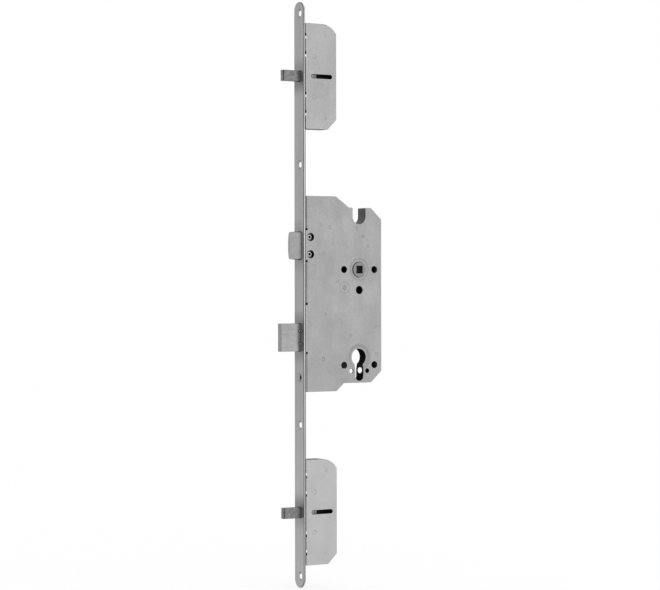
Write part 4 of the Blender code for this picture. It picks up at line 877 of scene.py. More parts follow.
class LOCK_OT_forend(bpy.types.Operator):
    """Long faceplate with round ends, countersunk holes and openings for the bolts."""
    bl_idname = "lock.forend"
    bl_label = "Forend"

    def execute(self, context):
        edge = context.scene.lock_bolts.forend_edge
        bottom, top = FOREND_ENDS
        low_end, high_end = bottom + FOREND_HALF, top - FOREND_HALF
        outline = arc((0.0, high_end), FOREND_HALF, 0.0, 180.0, 40)
        outline += arc((0.0, low_end), FOREND_HALF, 180.0, 360.0, 40)
        forend = sheet(outline, 0.0, FOREND_LIP, "X", "forend_plate")
        self.add_step(forend)
        round_rim(forend, "X", 0.0, edge, 4)
        tools = [self.sink_tool(z, *WOOD_SCREW_SINK) for z in WOOD_SCREWS]
        tools.append(self.sink_tool(CYLINDER_SCREW_Z, *CYLINDER_SCREW_SINK))
        openings = [eased(latch_section(BOLT_PLAY), LATCH_OPENING_CORNER)]
        heights = [(LATCH_Z, LATCH_RISE)]
        for node in ("deadbolt_head", "upper_bolt", "lower_bolt"):
            low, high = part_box(node)
            heights.append(((low[2] + high[2]) / 2, (high[2] - low[2]) / 2))
            start = [value - BOLT_PLAY for value in low[1:]]
            end = [value + BOLT_PLAY for value in high[1:]]
            openings.append(eased(rectangle(*start, *end), OPENING_CORNER))
        tools += [sheet(opening, -MM, FOREND_BACK + MM, "X") for opening in openings]
        combine(forend, tools)
        side_on = 0.3
        front_on = 0.98

        def which(centre, normal):
            """1 on the rounded front edges, a painted dark reflection, 2 in the openings and round the step,
            painted near black as shade, 3 on the lip's sides, painted bright as a highlight.
            """
            if centre.x > FOREND_BACK - NEAR:
                return 0
            at_bolt = any(abs(centre.z - z) < rise + MM for z, rise in heights)
            in_opening = at_bolt and abs(centre.y) < OPENING_HALF and abs(normal.x) < side_on
            if in_opening or centre.x > FOREND_LIP - NEAR:
                return 2
            past_end = max(centre.z - high_end, low_end - centre.z, 0.0)
            if math.hypot(centre.y, past_end) < FOREND_HALF - MM or normal.x < -front_on:
                return 0
            return 1 if centre.x < edge else 3

        self.shade(heights)
        hand_over(forend, "case", "forend_steel", ("forend", "edge", "inside", "lip"), "forend", which=which)
        return {"FINISHED"}

    def add_step(self, forend):
        """Narrower back, which leaves a gap in front of the cases: the back face is inset and extruded."""
        pick(forend, "FACE", lambda face: face.normal.x > FACING)
        bpy.ops.mesh.inset(thickness=FOREND_STEP)
        step = {"value": (FOREND_BACK - FOREND_LIP, 0.0, 0.0)}
        bpy.ops.mesh.extrude_region_move(TRANSFORM_OT_translate=step)
        turn_outwards()

    def sink_tool(self, height, head, hole):
        """Cutter for a countersunk hole that is wider again at the back."""
        back = hole + SINK_BACK_ROOM
        profile = [
            (-SINK_FLARE, head + 3 * SINK_FLARE), (SINK_FLARE, head - SINK_FLARE), (head - hole, hole),
            (SINK_BACK, hole), (SINK_BACK, back), (FOREND_BACK + MM, back),
        ]
        return turned(profile, (0.0, height), "X", 40)

    def shade(self, heights):
        """Darker tones beside the openings, painted as shade, and a brighter lower part, painted as light."""
        def painted_tone(height):
            return LOWER_PAINTED_LIGHT if height < WOOD_SCREWS[2] else 1.0

        stops = [(end, painted_tone(end)) for end in FOREND_ENDS]
        for (z, rise), (above, below) in zip(heights, FOREND_PAINTED_SHADOWS):
            for side, dark in ((1, above), (-1, below)):
                edge = z + side * rise
                far = edge + side * PAINTED_SHADOW_REACH
                stops += [(far, painted_tone(far)), (edge + side * MM, dark), (edge - side * PAINTED_SHADOW_INSIDE, 1.0)]
        paint_shade_along(finish_of("forend"), sorted(stops))


def furniture_tools(out, flare):
    """Cutters for the holes that both plates of the main case have."""
    room = FAR_ROOM if out > 0 else 0.0
    tools = []
    for centre, radius in CASE_HOLES:
        wider = room if centre[0] > CYLINDER[0] else 0.0
        tools.append(hole_tool(centre, radius + wider, out, flare))
    tools.append(hole_tool(HANDLE, BORE_RADIUS, out, flare))
    ends = sorted((out * THROUGH, out * (SIDE + CUT_PAST)))
    tools.append(sheet(cylinder_outline(room), *ends))
    return tools


def recess_tools(out, depth):
    """Cutters for the recesses at the handle and the cylinder."""
    return [recess_tool(centre, radius, out, depth * share) for centre, radius, share in RECESSES]


def tenon_tools(nodes, out, room=TENON_PLAY, flare=TENON_PLAY):
    """Cutters for the holes in which the ends of pillars are riveted."""
    return [hole_tool(place_of(node), TENON_RADIUS + room, out, flare) for node in nodes]


def rod_gate(height):
    """Cutter for the passage of a rod through an end wall, at the front."""
    back, far, rise = ROD_GATE
    return block((0.0, -2 * SIDE, height - rise), (back, far, height + rise))


def near_plate(name, plain, sizes):
    """Flat plate with a rounded outer edge."""
    plate = sheet(eased(plain, CORNER), -SIDE, -INNER, name=name)
    round_rim(plate, "Y", -SIDE, sizes.edge)
    return plate


def far_tray(name, plain, sizes):
    """Plate folded into walls on all sides but the front."""
    tray = sheet(eased(plain, CORNER), -RIM, SIDE, name=name)
    round_rim(tray, "Y", SIDE, sizes.bend, 4)
    room = inset(plain, [WALL] * (len(plain) - 1) + [-OPEN_FRONT])
    return combine(tray, [sheet(room, -2 * SIDE, INNER)])


class LOCK_OT_case(bpy.types.Operator):
    """Main lock case: the near plate and the folded far tray."""
    bl_idname = "lock.case_plates"
    bl_label = "Lock case"

    def execute(self, context):
        sizes = context.scene.lock_plates
        pieces = {"case_cover": self.make_cover(sizes), "case_base": self.make_tray(sizes)}
        which = plate_faces(case_outline())
        for node, item in pieces.items():
            hand_over(item, "case", "zinc_plate", ("case", "inside", "cut"), node, which=which)
        return {"FINISHED"}

    def make_cover(self, sizes):
        cover = near_plate("case_near_plate", case_outline(), sizes)
        combine(cover, recess_tools(-1, sizes.recess))
        tools = furniture_tools(-1, sizes.flare)
        tools += [hole_tool((LATCH_SCREW_X, z), LATCH_ACCESS, -1, sizes.flare) for z in LATCH_SCREWS.values()]
        tools += [hole_tool((BEND_X, z), RELIEF_RADIUS, -1, sizes.flare / 2) for z in BEND_RELIEFS]
        combine(cover, tools + tenon_tools((*CASE_PILLARS, "deadbolt_post"), -1))
        dish_depth = sizes.mark * 2.2
        ring_depth = sizes.mark * 0.7
        marks = [mark_tool(centre, PRESS_MARK_RADIUS, sizes.mark) for centre in PRESS_MARKS]
        marks.append(mark_tool(PRESS_RING, PRESS_RING_DISH, dish_depth))
        marks.append(ring_tool(PRESS_RING, *PRESS_RING_SIZE, ring_depth))
        combine(cover, marks)
        half = sizes.groove / 2
        floor = -SIDE + sizes.groove
        grooves = []
        for low, high in BEND_LINES:
            grooves.append(block((BEND_X - half, -SIDE - MM, low), (BEND_X + half, floor, high)))
        return combine(cover, grooves)

    def make_tray(self, sizes):
        tray = far_tray("case_far_tray", case_outline(), sizes)
        combine(tray, [rod_gate(CASE_OUTLINE_TOP[-1][1]), rod_gate(CASE_OUTLINE[0][1])])
        combine(tray, recess_tools(1, sizes.recess))
        return combine(tray, furniture_tools(1, sizes.flare) + tenon_tools(CASE_PILLARS, 1))


class LOCK_OT_boxes(bpy.types.Operator):
    """Two bolt boxes: each a slotted near plate on a folded tray."""
    bl_idname = "lock.bolt_boxes"
    bl_label = "Bolt boxes"

    def execute(self, context):
        sizes = context.scene.lock_plates
        cover = self.make_cover(BOXES["upper"], sizes)
        tray = self.make_tray(BOXES["upper"], sizes)
        covers = {"upper": cover, "lower": copy_piece(cover, "lower_box_near_plate", DROP)}
        trays = {"upper": tray, "lower": copy_piece(tray, "lower_box_far_tray", DROP)}
        for prefix, side in (("upper", -1), ("lower", 1)):
            height = BOXES[prefix]
            combine(trays[prefix], [rod_gate(height + side * BOX_HALF)])
            self.notch_edge(covers[prefix], height, side)
            which = self.box_faces(height, side)
            finishes = (prefix + "_box", "inside", "lug", "cut")
            hand_over(trays[prefix], "case", "zinc_plate", finishes, prefix + "_box_base", which=which)
            hand_over(covers[prefix], "case", "zinc_plate", finishes, prefix + "_box_cover", which=which)
        return {"FINISHED"}

    def box_faces(self, height, side):
        """As on the case, but 2 on the lugs, painted near white as a highlight, and 3 on the end wall that
        faces the case, painted dark as shade.
        """
        plain = plate_faces(box_outline(height))
        proud = -SIDE - 0.01 * MM
        end_on = 0.7

        def which(centre, normal):
            # The lug pads take the near-white finish, a painted highlight
            if centre.y < proud:
                return 2
            # The end wall facing the case takes the dark finish as painted shade
            if normal.z * side > end_on and abs(centre.z - height) > BOX_HALF - MM:
                return 3
            return plain(centre, normal)
        return which

    def notch_edge(self, cover, height, side):
        """Front edge set back between the lugs, with a notch beside each lug and a pad on it."""
        ends = sorted(height + z + rise for z in BOX_LUGS for rise in (-LUG_RISE, LUG_RISE))
        ends = [height - BOX_HALF - MM, *ends, height + BOX_HALF + MM]
        gaps = zip(ends[::2], ends[1::2])
        combine(cover, [block((0.0, -2 * SIDE, low), (BOX_EDGE, 0.0, high)) for low, high in gaps])
        notches = []
        for z in BOX_LUGS:
            middle = height + z - side * NOTCH_SHIFT
            outline = rectangle(0.0, middle - NOTCH_RISE, NOTCH_BACK, middle + NOTCH_RISE)
            notches.append(sheet(eased(outline, NOTCH_CORNER), -2 * SIDE, 0.0))
        combine(cover, notches)
        for z in BOX_LUGS:
            pad = block((BOX_FRONT, -SIDE - PAD_RISE, height + z - LUG_RISE),
                        (LUG_BACK, -SIDE + PAD_DEPTH, height + z + LUG_RISE))
            round_all(pad, PAD_ROUNDING, 3)
            combine(cover, [pad], "UNION")

    def make_cover(self, height, sizes):
        cover = near_plate("upper_box_near_plate", box_outline(height), sizes)
        bosses = [(GUIDE_BOSS_X, height + side * GUIDE_OFFSET) for side in (1, -1)]
        slot = stadium((PIN_X, height), (PIN_X + BOLT_THROW, height), PIN_SLOT)
        tools = [sheet(slot, -SIDE - MM, -THROUGH)]
        tools += [hole_tool(boss, GUIDE_BOSS + TENON_PLAY, -1, TENON_PLAY) for boss in bosses]
        combine(cover, tools + tenon_tools(BOX_PILLARS[:2], -1, BOX_TENON_PLAY, BOX_TENON_PLAY / 2))
        return combine(cover, [mark_tool(boss, GUIDE_DISH, sizes.mark / 2) for boss in bosses])

    def make_tray(self, height, sizes):
        tray = far_tray("upper_box_far_tray", box_outline(height), sizes)
        return combine(tray, tenon_tools(BOX_PILLARS[:2], 1))


def tenon(start, radius, edge=BREAK_EDGE):
    """Near end of a riveted pillar or boss, with its edge broken."""
    return [(start, radius - edge), (start + edge, radius)]


def between_plates(centre, normal):
    """Whether a face of a riveted piece is hidden between the plates."""
    return abs(centre.y) < INNER + MM


class LOCK_OT_pillars(bpy.types.Operator):
    """Turned pillars riveted flush in the plates, the deadbolt's guide post and the bolt guides."""
    bl_idname = "lock.pillars"
    bl_label = "Pillars and guides"

    def execute(self, context):
        first = CASE_PILLARS[0]
        low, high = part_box(first)
        collar = (high[0] - low[0]) / 2
        profile = [
            *tenon(low[1], TENON_RADIUS),
            (-RIM, TENON_RADIUS),
            *tenon(-RIM, collar),
            (COLLAR_END - BREAK_EDGE, collar),
            (COLLAR_END, collar - COLLAR_STEP),
            (RIM, collar - COLLAR_STEP),
            (RIM, TENON_RADIUS),
            (high[1] - BREAK_EDGE, TENON_RADIUS),
            (high[1], TENON_RADIUS - BREAK_EDGE),
        ]
        centre = place_of(first)
        pieces = {first: turned(profile, centre, sides=28, name="turned_" + first)}
        for node in (*CASE_PILLARS[1:], *BOX_PILLARS):
            place = place_of(node)
            offset = (place[0] - centre[0], 0.0, place[1] - centre[1])
            pieces[node] = copy_piece(pieces[first], "turned_" + node, offset)
        pieces["deadbolt_post"] = self.make_post()
        pieces.update(self.make_guides(context.scene.lock_bolts))
        for node, item in pieces.items():
            prefix = node.split("_")[0]
            finishes = (prefix + "_box" if prefix in BOXES else "case", "inside")
            hand_over(item, "case", "inner_steel", finishes, node, which=between_plates)
        return {"FINISHED"}

    def make_post(self):
        low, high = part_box("deadbolt_post")
        body = (high[0] - low[0]) / 2
        profile = [
            *tenon(low[1], TENON_RADIUS), (-RIM, TENON_RADIUS),
            (-RIM, body), (high[1] - POST_CHAMFER, body), (high[1], body - POST_CHAMFER),
        ]
        return turned(profile, place_of("deadbolt_post"), sides=28, name="guide_post")

    def make_guides(self, sizes):
        first = "upper_guide_top"
        low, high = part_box(first)
        guide = block((low[0], -RIM, low[2]), high, "bolt_" + first)
        rounding = sizes.edge * 1.6
        round_all(guide, rounding, 3)
        boss = (GUIDE_BOSS_X, BOXES["upper"] + GUIDE_OFFSET)
        profile = [*tenon(low[1], GUIDE_BOSS, GUIDE_BREAK_EDGE), (0.0, GUIDE_BOSS)]
        combine(guide, [turned(profile, boss)], "UNION")
        pieces = {first: guide}
        for node in ("upper_guide_bottom", "lower_guide_top", "lower_guide_bottom"):
            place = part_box(node)[0]
            pieces[node] = copy_piece(guide, "bolt_" + node, (0.0, 0.0, place[2] - low[2]))
            if node.endswith("bottom"):
                self.turn_over(pieces[node], node)
        return pieces

    def turn_over(self, item, node):
        """Mirror a guide top to bottom about its own middle, so that its boss is at the outer end."""
        low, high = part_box(node)
        middle = (0.0, 0.0, (low[2] + high[2]) / 2)
        edit_all(item)
        bpy.ops.transform.resize(value=(1.0, 1.0, -1.0), center_override=middle)
        turn_outwards()


def tail_slot(slot, height, back):
    """Cutter for the slot in a bolt's rear that takes its tail."""
    front, half, rise = slot
    return block((front, -half, height - rise), (back, half, height + rise))


class LOCK_OT_latch(bpy.types.Operator):
    """Latch head, wedged on both sides with a bowed nose, and its two socket screws."""
    bl_idname = "lock.latch"
    bl_label = "Latch"

    def execute(self, context):
        self.make_head(context.scene.lock_bolts)
        self.make_screws()
        return {"FINISHED"}

    def make_head(self, sizes):
        back = LATCH_REAR + LATCH_SPARE
        head = sheet(latch_section(), -LATCH_REACH - LATCH_SPARE, LATCH_REAR, "X", "latch_wedge")
        lean = math.degrees(math.asin((LATCH_HALF - LATCH_NOSE) / LATCH_REACH))
        wide = LATCH_HALF + 0.02 * MM
        plan = arc((-LATCH_REACH + LATCH_NOSE, 0.0), LATCH_NOSE, 90.0 + lean, 270.0 - lean, 16)
        plan += rectangle(0.0, -wide, back, wide)
        bottom, top = LATCH_Z - 2 * LATCH_RISE, LATCH_Z + 2 * LATCH_RISE
        combine(head, [sheet(plan, bottom, top, "Z")], "INTERSECT")
        chord = LATCH_RISE + 0.3 * MM
        bow = bow_radius(chord, LATCH_BULGE)
        sweep = math.degrees(math.asin(chord / bow))
        squeeze = 1 - LATCH_SLOPE / chord
        nose = arc((-LATCH_REACH + bow, LATCH_Z), bow, 180.0 - sweep, 180.0 + sweep, 24)
        side = rectangle(0.0, LATCH_Z - chord, back, LATCH_Z + chord)
        side += [(x, LATCH_Z + (z - LATCH_Z) * squeeze) for x, z in nose]
        combine(head, [sheet(side, -2 * LATCH_HALF, 2 * LATCH_HALF)], "INTERSECT")
        round_all(head, sizes.edge, 3, angle=35.0)
        combine(head, [tail_slot(LATCH_SLOT, LATCH_Z, LATCH_REAR + MM)])
        combine(head, [turned(LATCH_SCREW_SEAT, (LATCH_SCREW_X, z)) for z in LATCH_SCREWS.values()])
        side_face = -LATCH_HALF + 0.05 * MM

        def in_seat(centre, normal):
            return centre.x > FOREND_BACK and centre.y > side_face and abs(normal.y) < FACING

        hand_over(head, "latch", "bolt_steel", ("bolt", "inside"), "latch_head", which=in_seat)

    def make_screws(self):
        first = "latch_screw_upper"
        centre = (LATCH_SCREW_X, LATCH_SCREWS[first])
        screw = turned(LATCH_SCREW_PROFILE, centre, sides=40, name="socket_" + first)
        combine(screw, [turned(LATCH_SCREW_SOCKET, centre, sides=6)])
        top = LATCH_SCREW_PROFILE[0][0] + 0.01 * MM
        mouth = LATCH_SCREW_SOCKET[0][1] - 0.1 * MM
        for node, item in repeat(screw, "socket_", LATCH_SCREWS).items():
            # The socket's inside takes the near-black finish, as painted shade
            def in_socket(place, normal, z=LATCH_SCREWS[node]):
                return place.y > top and math.hypot(place.x - LATCH_SCREW_X, place.z - z) < mouth
            hand_over(item, "latch", "screw_steel", ("screw", "inside"), node, which=in_socket)


def make_bolt(name, node, chamfer, edge):
    """Flat bolt with bevelled front edges, from a box."""
    low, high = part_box(node)
    bolt = block(low, high, name)
    front = low[0] + NEAR
    bevel_edges(bolt, lambda a, b: a.x < front and b.x < front and abs(a.y - b.y) < NEAR, chamfer, 1)
    round_all(bolt, edge, 3, angle=35.0)
    return bolt


def bolt_faces(centre, normal):
    """Which finish a face of a bolt takes: 0 on a side, 1 on the front end, 2 on a bevel, 3 in a bore, which
    is painted near black as shade.
    """
    square_on, end_on, slanted = 0.97, 0.999, 0.3
    if normal.x < -square_on:
        return 1
    if normal.x < -slanted:
        return 2
    within = abs(centre.y) < BOLT_SIDE and centre.x > BORE_FRONT
    return 3 if within and abs(normal.y) < square_on and abs(normal.z) < end_on else 0


class LOCK_OT_deadbolt(bpy.types.Operator):
    """Flat deadbolt with the two cross pins near its root."""
    bl_idname = "lock.deadbolt"
    bl_label = "Deadbolt"

    def execute(self, context):
        sizes = context.scene.lock_bolts
        bolt = make_bolt("flat_deadbolt", "deadbolt_head", sizes.deadbolt_chamfer, sizes.edge)
        low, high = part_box("deadbolt_head")
        combine(bolt, [tail_slot(DEADBOLT_SLOT, DEADBOLT_Z, high[0] + MM)])
        bore = RIVET_RADIUS + RIVET_ROOM
        mouth = 0.3 * MM
        profile = [
            (low[1] - mouth, bore + 2 * mouth), (low[1] + mouth, bore),
            (high[1] - mouth, bore), (high[1] + mouth, bore + 2 * mouth),
        ]
        combine(bolt, [turned(profile, (RIVET_BORE_X, z)) for z in RIVETS.values()])
        # The deadbolt and its front end are painted darker than the latch's steel, as shade
        finishes = ("deadbolt", "bolt_end", "deadbolt", "inside")
        hand_over(bolt, "deadbolt", "bolt_steel", finishes, "deadbolt_head", which=bolt_faces)
        self.make_rivets()
        return {"FINISHED"}

    def make_rivets(self):
        first = "deadbolt_rivet_upper"
        low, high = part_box(first)
        profile = [(low[1] + y, r) for y, r in RIVET_DOME]
        profile += [(high[1] - y, r) for y, r in reversed(RIVET_DOME)]
        rivet = turned(profile, (RIVET_X, RIVETS[first]), sides=24, name="cross_" + first)
        for node, item in repeat(rivet, "cross_", RIVETS).items():
            hand_over(item, "deadbolt", "screw_steel", ("screw",), node)


class LOCK_OT_outer_bolts(bpy.types.Operator):
    """Auxiliary bolts with the guide pins that show in the slots of the boxes."""
    bl_idname = "lock.outer_bolts"
    bl_label = "Outer bolts"

    def execute(self, context):
        sizes = context.scene.lock_bolts
        height = BOXES["upper"]
        bolt = make_bolt("upper_flat_bolt", "upper_bolt", sizes.bolt_chamfer, sizes.edge)
        bore = PIN_RADIUS + 0.1 * MM
        combine(bolt, [turned([(-SIDE, bore), (SIDE, bore)], (PIN_X, height))])
        low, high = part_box("upper_bolt_pin")
        chamfer = 0.3 * MM
        profile = [(low[1] + y, r) for y, r in PIN_DOME]
        profile += [(high[1] - chamfer, PIN_RADIUS), (high[1], PIN_RADIUS - chamfer)]
        pin = turned(profile, (PIN_X, height), sides=36, name="upper_guide_pin")
        self.add_shoe(pin, height)
        bolts = {"upper": bolt, "lower": copy_piece(bolt, "lower_flat_bolt", DROP)}
        pins = {"upper": pin, "lower": copy_piece(pin, "lower_guide_pin", DROP)}
        # The outer bolts' bevels take the dark edge finish as painted shade
        finishes = ("dark_bolt", "dark_bolt", "edge", "inside")
        for prefix, item in bolts.items():
            hand_over(item, prefix + "_bolt", "dark_bolt_steel", finishes, prefix + "_bolt", which=bolt_faces)
        for prefix, item in pins.items():
            hand_over(item, prefix + "_bolt", "screw_steel", ("pin",), prefix + "_bolt_pin")
        return {"FINISHED"}

    def add_shoe(self, pin, height):
        """Ribbed shoe under the cover, on which the pin slides."""
        front, back = SHOE_ENDS
        shoe = block((front, SHOE_TOP, height - SHOE_RISE), (back, SHOE_FOOT, height + SHOE_RISE))
        round_all(shoe, SHOE_ROUNDING)
        combine(pin, [shoe], "UNION")
        half, floor = SHOE_GROOVE_HALF, SHOE_TOP + SHOE_GROOVE_DEPTH
        grooves = []
        for x in SHOE_GROOVES:
            grooves.append(block((x - half, SHOE_TOP - MM, height - 2 * SHOE_RISE),
                                 (x + half, floor, height + 2 * SHOE_RISE)))
        combine(pin, grooves)


def taper(root, root_radius, tip, tip_radius, steps=16):
    """Outline round two circles of unlike size."""
    heading = math.degrees(math.atan2(tip[1] - root[1], tip[0] - root[0]))
    lean = math.degrees(math.acos((root_radius - tip_radius) / math.dist(root, tip)))
    ends = arc(tip, tip_radius, heading - lean, heading + lean, steps)
    return ends + arc(root, root_radius, heading + lean, heading + 360.0 - lean, steps)


class LOCK_OT_follower(bpy.types.Operator):
    """Handle follower: a hub with a square hole, the arm that draws the latch and the spring's heel."""
    bl_idname = "lock.follower"
    bl_label = "Follower"

    def execute(self, context):
        profile = HUB_SIDE + [(-y, r) for y, r in reversed(HUB_SIDE)]
        hub = turned(profile, HANDLE, sides=72, name="handle_follower")
        end, shoulder = KNUCKLE_HALF, KNUCKLE_HALF - KNUCKLE_EDGE
        for tip, root, neck, radius in FOLLOWER_ARMS:
            arm = sheet(taper(HANDLE, root, tip, neck), -ARM_HALF, ARM_HALF)
            combine(hub, [arm], "UNION")
            small = radius - KNUCKLE_EDGE
            knuckle = [(-end, small), (-shoulder, radius), (shoulder, radius), (end, small)]
            combine(hub, [turned(knuckle, tip)], "UNION")
        x, z = HANDLE
        square = rectangle(x - SPINDLE_HALF, z - SPINDLE_HALF, x + SPINDLE_HALF, z + SPINDLE_HALF)
        combine(hub, [sheet(eased(square, SPINDLE_CORNER), -2 * SIDE, 2 * SIDE)])
        side_on = 0.2

        def hidden(centre, normal):
            """Walls of the square hole and sides of the hub, painted near black as shade, and all that lies
            between the plates.
            """
            return abs(normal.y) < side_on or abs(centre.y) < RIM

        hand_over(hub, "follower", "inner_steel", ("hub", "inside"), "follower", which=hidden)
        return {"FINISHED"}


class LOCK_OT_cylinder_screw(bpy.types.Operator):
    """Countersunk screw that holds the cylinder, with a dished head, a deep socket and a threaded shank."""
    bl_idname = "lock.cylinder_screw"
    bl_label = "Cylinder screw"

    def execute(self, context):
        centre = (0.0, CYLINDER_SCREW_Z)
        core, crest = THREAD_RADII
        flanks = (0.45 * THREAD_PITCH, 0.55 * THREAD_PITCH)
        profile = list(CYLINDER_SCREW_HEAD)
        for turn in range(THREAD_TURNS):
            place = THREAD_START + turn * THREAD_PITCH
            profile += [(place + flank, crest) for flank in flanks]
            profile.append((place + THREAD_PITCH, core))
        profile += CYLINDER_SCREW_TIP
        screw = turned(profile, centre, "X", 28, "countersunk_cylinder_screw")
        combine(screw, [turned(CYLINDER_SCREW_SOCKET, centre, "X", 28)])
        shank, neck, socket = 2.2 * MM, 2.3 * MM, 2.8 * MM

        def which(middle, normal):
            """1 deep in the socket, painted near black as shade, and on the threaded shank."""
            away = math.hypot(middle.y, middle.z - CYLINDER_SCREW_Z)
            return middle.x > socket or middle.x > shank and away > neck

        hand_over(screw, "case", "screw_steel", ("screw", "inside"), "cylinder_screw", which=which)
        return {"FINISHED"}


class LOCK_OT_springs(bpy.types.Operator):
    """Latch spring and follower spring, wound from round wire with closed ends."""
    bl_idname = "lock.springs"
    bl_label = "Springs"

    def execute(self, context):
        steps = context.scene.lock_bolts.spring_steps
        for node, joint, wire, turns, anchor, travel in SPRINGS:
            low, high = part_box(node)
            spring = self.wind("wound_" + node, low, high, wire, turns, steps)
            hand_over(spring, "case", "spring_steel", ("spring",), node, angle=60.0)
            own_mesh(spring)
        return {"FINISHED"}

    def wind(self, name, low, high, wire, turns, steps):
        """Wire section turned round the spring's axis by a Screw modifier, closest at both ends."""
        let_go()
        sides = 12
        radius = (high[2] - low[2]) / 2 - wire / 2
        middle = ((low[1] + high[1]) / 2, (low[2] + high[2]) / 2)
        bpy.ops.mesh.primitive_circle_add(vertices=sides, radius=wire / 2, rotation=TURN["Y"])
        spring = new_item(name)
        edit_all(spring)
        bpy.ops.transform.translate(value=(0.0, 0.0, radius))
        bpy.ops.object.mode_set(mode="OBJECT")
        modify(spring, "SCREW", axis="X", angle=2 * math.pi, iterations=turns, steps=steps,
               render_steps=steps, screw_offset=MM)
        rings = turns * steps + 1
        span = high[0] - low[0] - wire
        places = self.lay(rings, steps, wire, span)
        for index, corner in enumerate(spring.data.vertices):
            ring = index // sides
            corner.co.x += low[0] + wire / 2 + places[ring] - MM * ring / steps
            corner.co.y += middle[0]
            corner.co.z += middle[1]
        take(spring)
        bpy.ops.object.mode_set(mode="EDIT")
        bpy.ops.mesh.select_mode(type="EDGE")
        bpy.ops.mesh.select_all(action="DESELECT")
        bpy.ops.mesh.select_non_manifold()
        bpy.ops.mesh.edge_face_add()
        turn_outwards()
        return spring

    def lay(self, rings, steps, wire, span):
        """Distance of each section along the axis: a closed turn at each end and open turns between."""
        closed_pitch = 1.02 * wire
        closed = closed_pitch / steps
        open_steps = rings - 1 - 2 * steps
        wide = (span - 2 * steps * closed) / open_steps
        places = [0.0]
        for ring in range(1, rings):
            at_end = ring <= steps or ring > rings - 1 - steps
            places.append(places[-1] + (closed if at_end else wide))
        return places


class LOCK_OT_inner_parts(bpy.types.Operator):
    """Finishes for the parts of the mechanism that keep their shape: carrier, tail, slide, cams and rods."""
    bl_idname = "lock.inner_parts"
    bl_label = "Inner parts"

    def execute(self, context):
        for node, finish in INNER_PARTS.items():
            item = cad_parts[node]
            item.data.materials.clear()
            item.data.materials.append(finish_of(finish))
        return {"FINISHED"}


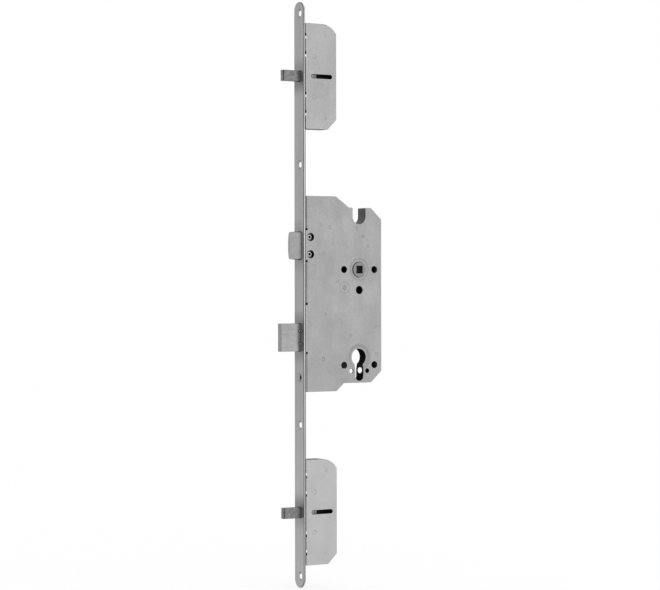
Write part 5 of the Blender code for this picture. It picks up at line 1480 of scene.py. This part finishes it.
class LOCK_OT_stage(bpy.types.Operator):
    """White floor, even studio light and the camera."""
    bl_idname = "lock.stage"
    bl_label = "Stage"

    def execute(self, context):
        settings = context.scene.lock_stage
        self.make_floor()
        self.make_light(context.scene, settings)
        self.make_camera(context.scene, settings)
        context.scene.view_settings.view_transform = "Standard"
        return {"FINISHED"}

    def make_floor(self):
        let_go()
        bpy.ops.mesh.primitive_plane_add(size=FLOOR_SIZE, location=(0.0, 0.0, FOREND_ENDS[0] - FLOOR_GAP))
        floor = new_item("floor")
        finish, tree, shader = new_finish("pale_floor")
        shader.inputs["Base Color"].default_value = FLOOR_WHITE
        shader.inputs["Roughness"].default_value = FLOOR_ROUGHNESS
        shader.inputs["Specular IOR Level"].default_value = FLOOR_SHEEN
        seen = self.seen(tree, "Is Glossy Ray")
        share = work_out(tree, "MULTIPLY", seen, FLOOR_GLOW)
        blend(tree, share, shader.outputs["BSDF"], add_node(tree, "Emission", {}), "Material Output")
        floor.data.materials.append(finish)
        floor.select_set(False)

    def seen(self, tree, *rays):
        """Whether the camera looks here, straight or by rays of these kinds."""
        path = tree.nodes.new("ShaderNodeLightPath").outputs
        seen = path["Is Camera Ray"]
        for ray in rays:
            seen = work_out(tree, "MAXIMUM", seen, path[ray])
        return seen

    def make_light(self, scene, settings):
        world = bpy.data.worlds.new("studio")
        world.use_nodes = True
        tree = world.node_tree
        room = tree.nodes["Background"]
        room.inputs["Color"].default_value = WHITE
        room.inputs["Strength"].default_value = settings.world
        white = add_node(tree, "Background", {"Color": WHITE, "Strength": 1.0})
        seen = self.seen(tree, "Is Glossy Ray", "Is Transmission Ray")
        blend(tree, seen, room.outputs["Background"], white, "World Output")
        scene.world = world
        let_go()
        bpy.ops.object.light_add(type="AREA", location=LAMP_PLACE)
        key = bpy.context.object
        key.name = "key_light"
        key.data.energy = settings.key
        key.data.shape = "DISK"
        key.data.size = LAMP_SIZE
        key.rotation_euler = (Vector(LAMP_TARGET) - key.location).to_track_quat("-Z", "Y").to_euler()

    def make_camera(self, scene, settings):
        yaw, pitch, roll = settings.turn
        ahead = Vector((math.sin(yaw) * math.cos(pitch), math.cos(yaw) * math.cos(pitch), math.sin(pitch)))
        right = Vector((math.cos(yaw), -math.sin(yaw), 0.0))
        up = right.cross(ahead)
        tilt_right = math.cos(roll) * right + math.sin(roll) * up
        tilt_up = math.cos(roll) * up - math.sin(roll) * right
        turn = Matrix((tilt_right, tilt_up, -ahead)).transposed().to_4x4()
        let_go()
        bpy.ops.object.camera_add()
        camera = bpy.context.object
        camera.matrix_world = Matrix.Translation(settings.camera) @ turn
        camera.data.sensor_width = SENSOR_WIDTH
        camera.data.lens = settings.focal / FRAME_WIDTH * SENSOR_WIDTH
        camera.data.clip_end = CLIP_END
        scene.camera = camera


class LOCK_PT_build(bpy.types.Panel):
    """Steps that model the lock, in order."""
    bl_idname = "LOCK_PT_build"
    bl_label = "Mortise lock"
    bl_space_type = "VIEW_3D"
    bl_region_type = "UI"
    bl_category = "Mortise lock"

    def draw(self, context):
        for operator in OPERATORS:
            self.layout.operator(operator.bl_idname)


GROUPS = {
    "lock_plates": PlateSizes,
    "lock_bolts": BoltSizes,
    "lock_finishes": Finishes,
    "lock_stage": StageSettings,
}
OPERATORS = (
    LOCK_OT_forend,
    LOCK_OT_case,
    LOCK_OT_boxes,
    LOCK_OT_pillars,
    LOCK_OT_latch,
    LOCK_OT_deadbolt,
    LOCK_OT_outer_bolts,
    LOCK_OT_follower,
    LOCK_OT_cylinder_screw,
    LOCK_OT_springs,
    LOCK_OT_inner_parts,
    LOCK_OT_stage,
)


def register():
    for name, group in GROUPS.items():
        bpy.utils.register_class(group)
        setattr(bpy.types.Scene, name, bpy.props.PointerProperty(type=group))
    for operator in OPERATORS:
        bpy.utils.register_class(operator)
    bpy.utils.register_class(LOCK_PT_build)


def unregister():
    bpy.utils.unregister_class(LOCK_PT_build)
    for operator in reversed(OPERATORS):
        bpy.utils.unregister_class(operator)
    for name, group in GROUPS.items():
        delattr(bpy.types.Scene, name)
        bpy.utils.unregister_class(group)


def main():
    register()
    bpy.ops.lock.forend()
    bpy.ops.lock.case_plates()
    bpy.ops.lock.bolt_boxes()
    bpy.ops.lock.pillars()
    bpy.ops.lock.latch()
    bpy.ops.lock.deadbolt()
    bpy.ops.lock.outer_bolts()
    bpy.ops.lock.follower()
    bpy.ops.lock.cylinder_screw()
    bpy.ops.lock.springs()
    bpy.ops.lock.inner_parts()
    bpy.ops.lock.stage()


if __name__ == "__main__":
    main()
